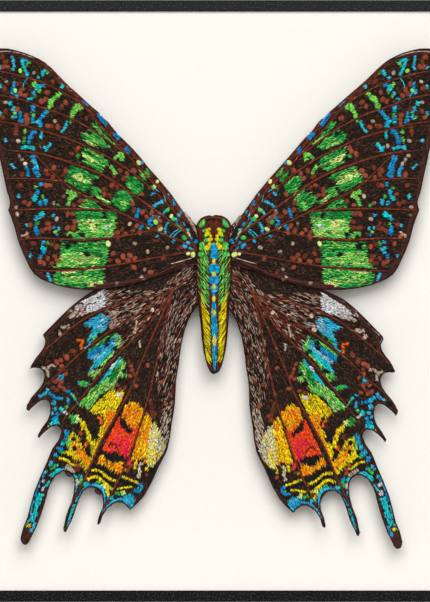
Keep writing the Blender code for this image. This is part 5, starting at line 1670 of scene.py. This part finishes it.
def thread_material():
    """Shiny spun thread in each strand's own colour, with the twist of its plies as bump and as painted shade: darker
    in the grooves, a little lighter on the ridges.
    """
    material = bpy.data.materials.new("embroidery thread")
    material.use_nodes = True
    tree = material.node_tree
    link = tree.links.new
    shader = tree.nodes["Principled BSDF"]
    shader.inputs["Roughness"].default_value = 0.55
    shader.inputs["Specular IOR Level"].default_value = 0.05
    tint = new_node(tree, "ShaderNodeVertexColor", (-800, 120), layer_name="thread_colour")
    twist = new_node(tree, "ShaderNodeGroup", (-800, -120), node_tree=shared_group(twist_group, "thread twist"))
    # Painted shade and highlight along the twist: the colour is multiplied by 0.86 in the grooves and by up to 1.04 on
    # the ridges
    shade = new_node(tree, "ShaderNodeMapRange", (-560, -60))
    shade.inputs["To Min"].default_value = 0.86
    shade.inputs["To Max"].default_value = 1.04
    dyed = new_node(tree, "ShaderNodeMix", (-320, 100), data_type="RGBA", blend_type="MULTIPLY")
    dyed.inputs["Factor"].default_value = 1.0
    painted_twist_shade = new_node(tree, "ShaderNodeCombineColor", (-440, -60))
    relief = new_node(tree, "ShaderNodeBump", (-300, -260))
    relief.inputs["Strength"].default_value = 0.5
    relief.inputs["Distance"].default_value = 0.08 * MM
    link(twist.outputs["Mask"], shade.inputs["Value"])
    for part in ("Red", "Green", "Blue"):
        link(shade.outputs["Result"], painted_twist_shade.inputs[part])
    link(tint.outputs["Color"], dyed.inputs["A"])
    link(painted_twist_shade.outputs["Color"], dyed.inputs["B"])
    link(dyed.outputs["Result"], shader.inputs["Base Color"])
    link(twist.outputs["Height"], relief.inputs["Height"])
    link(relief.outputs["Normal"], shader.inputs["Normal"])
    return material


def shared_thread():
    return bpy.data.materials.get("embroidery thread") or thread_material()


def shared_strands():
    """The thin strand of the ground and the full strand of the markings."""
    return model_strand(4), model_strand(6)


def dress(nodes, material):
    """Gives CAD nodes their finish."""
    for name in nodes:
        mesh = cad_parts[name].data
        mesh.materials.clear()
        mesh.materials.append(material)


def named(start):
    return sorted(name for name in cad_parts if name.startswith(start))


class MOTH_OT_dress_rails(bpy.types.Operator):
    """Gives the four rails their black powder coat"""
    bl_idname = "moth.dress_rails"
    bl_label = "Powder coat the rails"

    def execute(self, context):
        shade = np.array(context.scene.moth_finishes.powder)
        powder = grained_material(
            "black powder coat", shade, (shade * 3 + 0.17).clip(0, 1), (0.12, 0.18), scale=1300.0, bump=0.04,
            distance=0.1, detail=1.0, low=0.57, high=0.68, gloss=0.17,
        )
        dress(named("frame_rail"), powder)
        return {"FINISHED"}


class MOTH_OT_dress_fittings(bpy.types.Operator):
    """Finishes the hanger, the springs, the corner plates and the screws at the back"""
    bl_idname = "moth.dress_fittings"
    bl_label = "Finish the fittings"

    def execute(self, context):
        finishes = context.scene.moth_finishes
        zinc, steel = np.array(finishes.zinc), np.array(finishes.steel)
        plated = grained_material(
            "zinc plated steel", zinc * 0.86, zinc, (0.28, 0.46), metallic=1.0, scale=420.0, bump=0.12, distance=0.05,
            low=0.3, high=0.7,
        )
        rolled = grained_material(
            "rolled spring steel", steel * 0.8, steel, (0.25, 0.42), metallic=1.0, scale=1800.0, bump=0.1,
            distance=0.03, stretch=(0.15, 1, 0.15), low=0.3, high=0.7,
        )
        dress(named("corner") + named("sawtooth"), plated)
        dress(named("bow_spring"), rolled)
        return {"FINISHED"}


class MOTH_OT_dress_boards(bpy.types.Operator):
    """Gives the mount board its smooth paper face and the backing board its kraft paper"""
    bl_idname = "moth.dress_boards"
    bl_label = "Face the boards"

    def execute(self, context):
        finishes = context.scene.moth_finishes
        board, kraft = np.array(finishes.board), np.array(finishes.kraft)
        paper = grained_material(
            "off-white mount board", board * 0.992, board, (0.78, 0.9), scale=900.0, bump=0.05, distance=0.03,
            detail=4.0, low=0.35, high=0.65,
        )
        brown = grained_material(
            "kraft paper", kraft * 0.88, kraft * 1.06, (0.8, 0.92), scale=260.0, bump=0.2, distance=0.06, detail=6.0,
            stretch=(1, 1, 0.25), low=0.35, high=0.65,
        )
        dress(["mount_board"], paper)
        dress(["backing_board"], brown)
        return {"FINISHED"}


class MOTH_OT_dress_posts(bpy.types.Operator):
    """Gives the posts behind the moth their moulded black plastic"""
    bl_idname = "moth.dress_posts"
    bl_label = "Finish the posts"

    def execute(self, context):
        shade = np.array(context.scene.moth_finishes.plastic)
        plastic = grained_material(
            "moulded black plastic", shade, shade * 1.25, (0.34, 0.48), scale=1200.0, bump=0.12, distance=0.04,
        )
        dress(named("post"), plastic)
        return {"FINISHED"}


def felt_material(context):
    shade = np.array(context.scene.moth_finishes.felt)
    return grained_material(
        "stiff felt", shade, shade * 1.5, (0.85, 0.98), scale=1600.0, bump=0.5, distance=0.15, detail=5.0,
    )


class MOTH_OT_stitch_forewings(bpy.types.Operator):
    """Embroiders both forewings on their stiff felt: markings, ground, corded veins and rim"""
    bl_idname = "moth.stitch_forewings"
    bl_label = "Stitch the forewings"

    def execute(self, context):
        dress(named("forewing"), felt_material(context))
        strands = shared_strands()
        for side in SIDES.values():
            sew_forewing(side, strands, shared_thread())
        return {"FINISHED"}


class MOTH_OT_stitch_hindwings(bpy.types.Operator):
    """Embroiders both hindwings on their stiff felt: markings, hair, ground, corded veins and rim"""
    bl_idname = "moth.stitch_hindwings"
    bl_label = "Stitch the hindwings"

    def execute(self, context):
        dress(named("hindwing"), felt_material(context))
        strands = shared_strands()
        for side in SIDES.values():
            sew_hindwing(side, strands, shared_thread())
        return {"FINISHED"}


class MOTH_OT_stitch_body(bpy.types.Operator):
    """Pads the body and embroiders it over the padding"""
    bl_idname = "moth.stitch_body"
    bl_label = "Pad and stitch the body"

    def execute(self, context):
        padding = model_body("moth_body_padding")
        padding.data.materials.append(felt_material(context))
        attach(padding, BODY_NAME)
        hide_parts("moth_body")
        sew_body(padding, shared_strands(), shared_thread())
        return {"FINISHED"}


class MOTH_OT_set_stage(bpy.types.Operator):
    """Sets up the pale floor, the soft light and the camera"""
    bl_idname = "moth.set_stage"
    bl_label = "Set the stage"

    def execute(self, context):
        scene = context.scene
        stage = scene.moth_stage
        scene.view_settings.view_transform = "Standard"
        lay_floor()
        surround(scene, stage.sky)
        hang_lights(stage)
        place_camera(scene, stage)
        return {"FINISHED"}


def lay_floor():
    """The pale floor that the frame stands on."""
    deselect_all()
    bpy.ops.mesh.primitive_plane_add(size=6.0, location=(0, 0, FLOOR_HEIGHT))
    floor = bpy.context.object
    bpy.ops.object.mode_set(mode="EDIT")
    bpy.ops.mesh.select_all(action="SELECT")
    bpy.ops.mesh.subdivide(number_cuts=3)
    bpy.ops.object.mode_set(mode="OBJECT")
    bpy.ops.object.transform_apply(location=True, rotation=True, scale=True)
    floor.name = "floor"
    floor.data.materials.append(grained_material(
        "pale floor", (0.765, 0.765, 0.76), (0.775, 0.775, 0.77), (0.7, 0.85), scale=30.0,
    ))


def surround(scene, brightness):
    world = bpy.data.worlds.new("pale surroundings")
    scene.world = world
    world.use_nodes = True
    sky = world.node_tree.nodes["Background"]
    sky.inputs["Color"].default_value = (1.0, 1.0, 0.99, 1.0)
    to_camera = world.node_tree.nodes.new("ShaderNodeLightPath").outputs["Is Camera Ray"]
    strength = world.node_tree.nodes.new("ShaderNodeMath")
    strength.operation = "MULTIPLY_ADD"
    strength.inputs[1].default_value = 0.7
    strength.inputs[2].default_value = brightness
    world.node_tree.links.new(to_camera, strength.inputs[0])
    world.node_tree.links.new(strength.outputs["Value"], sky.inputs["Strength"])


def hang_light(name, shape, place, rotation, size, watts):
    """A large soft light that the camera doesn't see."""
    deselect_all()
    bpy.ops.object.light_add(type="AREA", location=place, rotation=rotation)
    light = bpy.context.object
    light.name = name
    light.data.shape = shape
    light.data.size, light.data.size_y = size
    light.data.energy = watts
    light.data.color = (1.0, 0.995, 0.99)
    light.visible_camera = False


def hang_lights(stage):
    """The key light above and in front of the moth, a pale panel in front that the top rail mirrors, and a weaker
    light for the frame's back."""
    away, up = cos(stage.key_angle), sin(stage.key_angle)
    direction = Vector((sin(stage.key_turn) * away, -cos(stage.key_turn) * away, up))
    reach = 2 * stage.key_distance
    hang_light(
        "soft key light", "ELLIPSE", CENTRE + direction * stage.key_distance,
        (pi / 2 - stage.key_angle, 0, stage.key_turn), (reach * tan(radians(26)), reach * tan(radians(21))),
        stage.key_watts,
    )
    hang_light(
        "pale panel", "RECTANGLE", CENTRE + Vector((0, -3.0, 0.84)), (pi / 2, 0, 0), (3.6, 1.96), stage.panel_watts,
    )
    hang_light(
        "back light", "RECTANGLE", CENTRE + Vector((0.4, 2.4, 1.4)), (radians(-60), 0, 0), (2.0, 1.5), stage.back_watts,
    )


def place_camera(scene, stage):
    """Looks straight at the moth through a long lens. The picture is taller than wide, so the sensor's width is
    the picture's height."""
    sensor = 0.036
    deselect_all()
    wing_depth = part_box("forewing_left")[0].y
    reach = stage.view_height * stage.lens * MM / sensor
    place = (CENTRE.x + stage.view_across, wing_depth - reach, CENTRE.z)
    bpy.ops.object.camera_add(location=place, rotation=(pi / 2, 0, 0))
    camera = bpy.context.object
    camera.name = "photo camera"
    camera.data.lens = stage.lens
    camera.data.sensor_width = sensor / MM
    camera.data.clip_end = 50.0
    scene.camera = camera


STEPS = (
    MOTH_OT_dress_rails, MOTH_OT_dress_fittings, MOTH_OT_dress_boards, MOTH_OT_dress_posts,
    MOTH_OT_stitch_forewings, MOTH_OT_stitch_hindwings, MOTH_OT_stitch_body, MOTH_OT_set_stage,
)
SETTINGS = {
    "moth_threads": ThreadColours, "moth_stitches": StitchSizes, "moth_finishes": FinishColours,
    "moth_stage": StageSettings,
}


class MOTH_PT_panel(bpy.types.Panel):
    """Lists the steps and the settings of the framed moth"""
    bl_idname = "MOTH_PT_panel"
    bl_label = "Framed moth"
    bl_space_type = "VIEW_3D"
    bl_region_type = "UI"
    bl_category = "Moth"

    def draw(self, context):
        layout = self.layout
        for step in STEPS:
            layout.operator(step.bl_idname)
        for name, group in SETTINGS.items():
            box = layout.box()
            for key in group.__annotations__:
                box.prop(getattr(context.scene, name), key)


def register():
    for part in (*SETTINGS.values(), *STEPS, MOTH_PT_panel):
        bpy.utils.register_class(part)
    for name, group in SETTINGS.items():
        setattr(bpy.types.Scene, name, bpy.props.PointerProperty(type=group))


def unregister():
    for name in SETTINGS:
        delattr(bpy.types.Scene, name)
    for part in (MOTH_PT_panel, *reversed(STEPS), *reversed(SETTINGS.values())):
        bpy.utils.unregister_class(part)


def main():
    register()
    for step in STEPS:
        group, name = step.bl_idname.split(".")
        getattr(getattr(bpy.ops, group), name)()


if __name__ == "__main__":
    main()
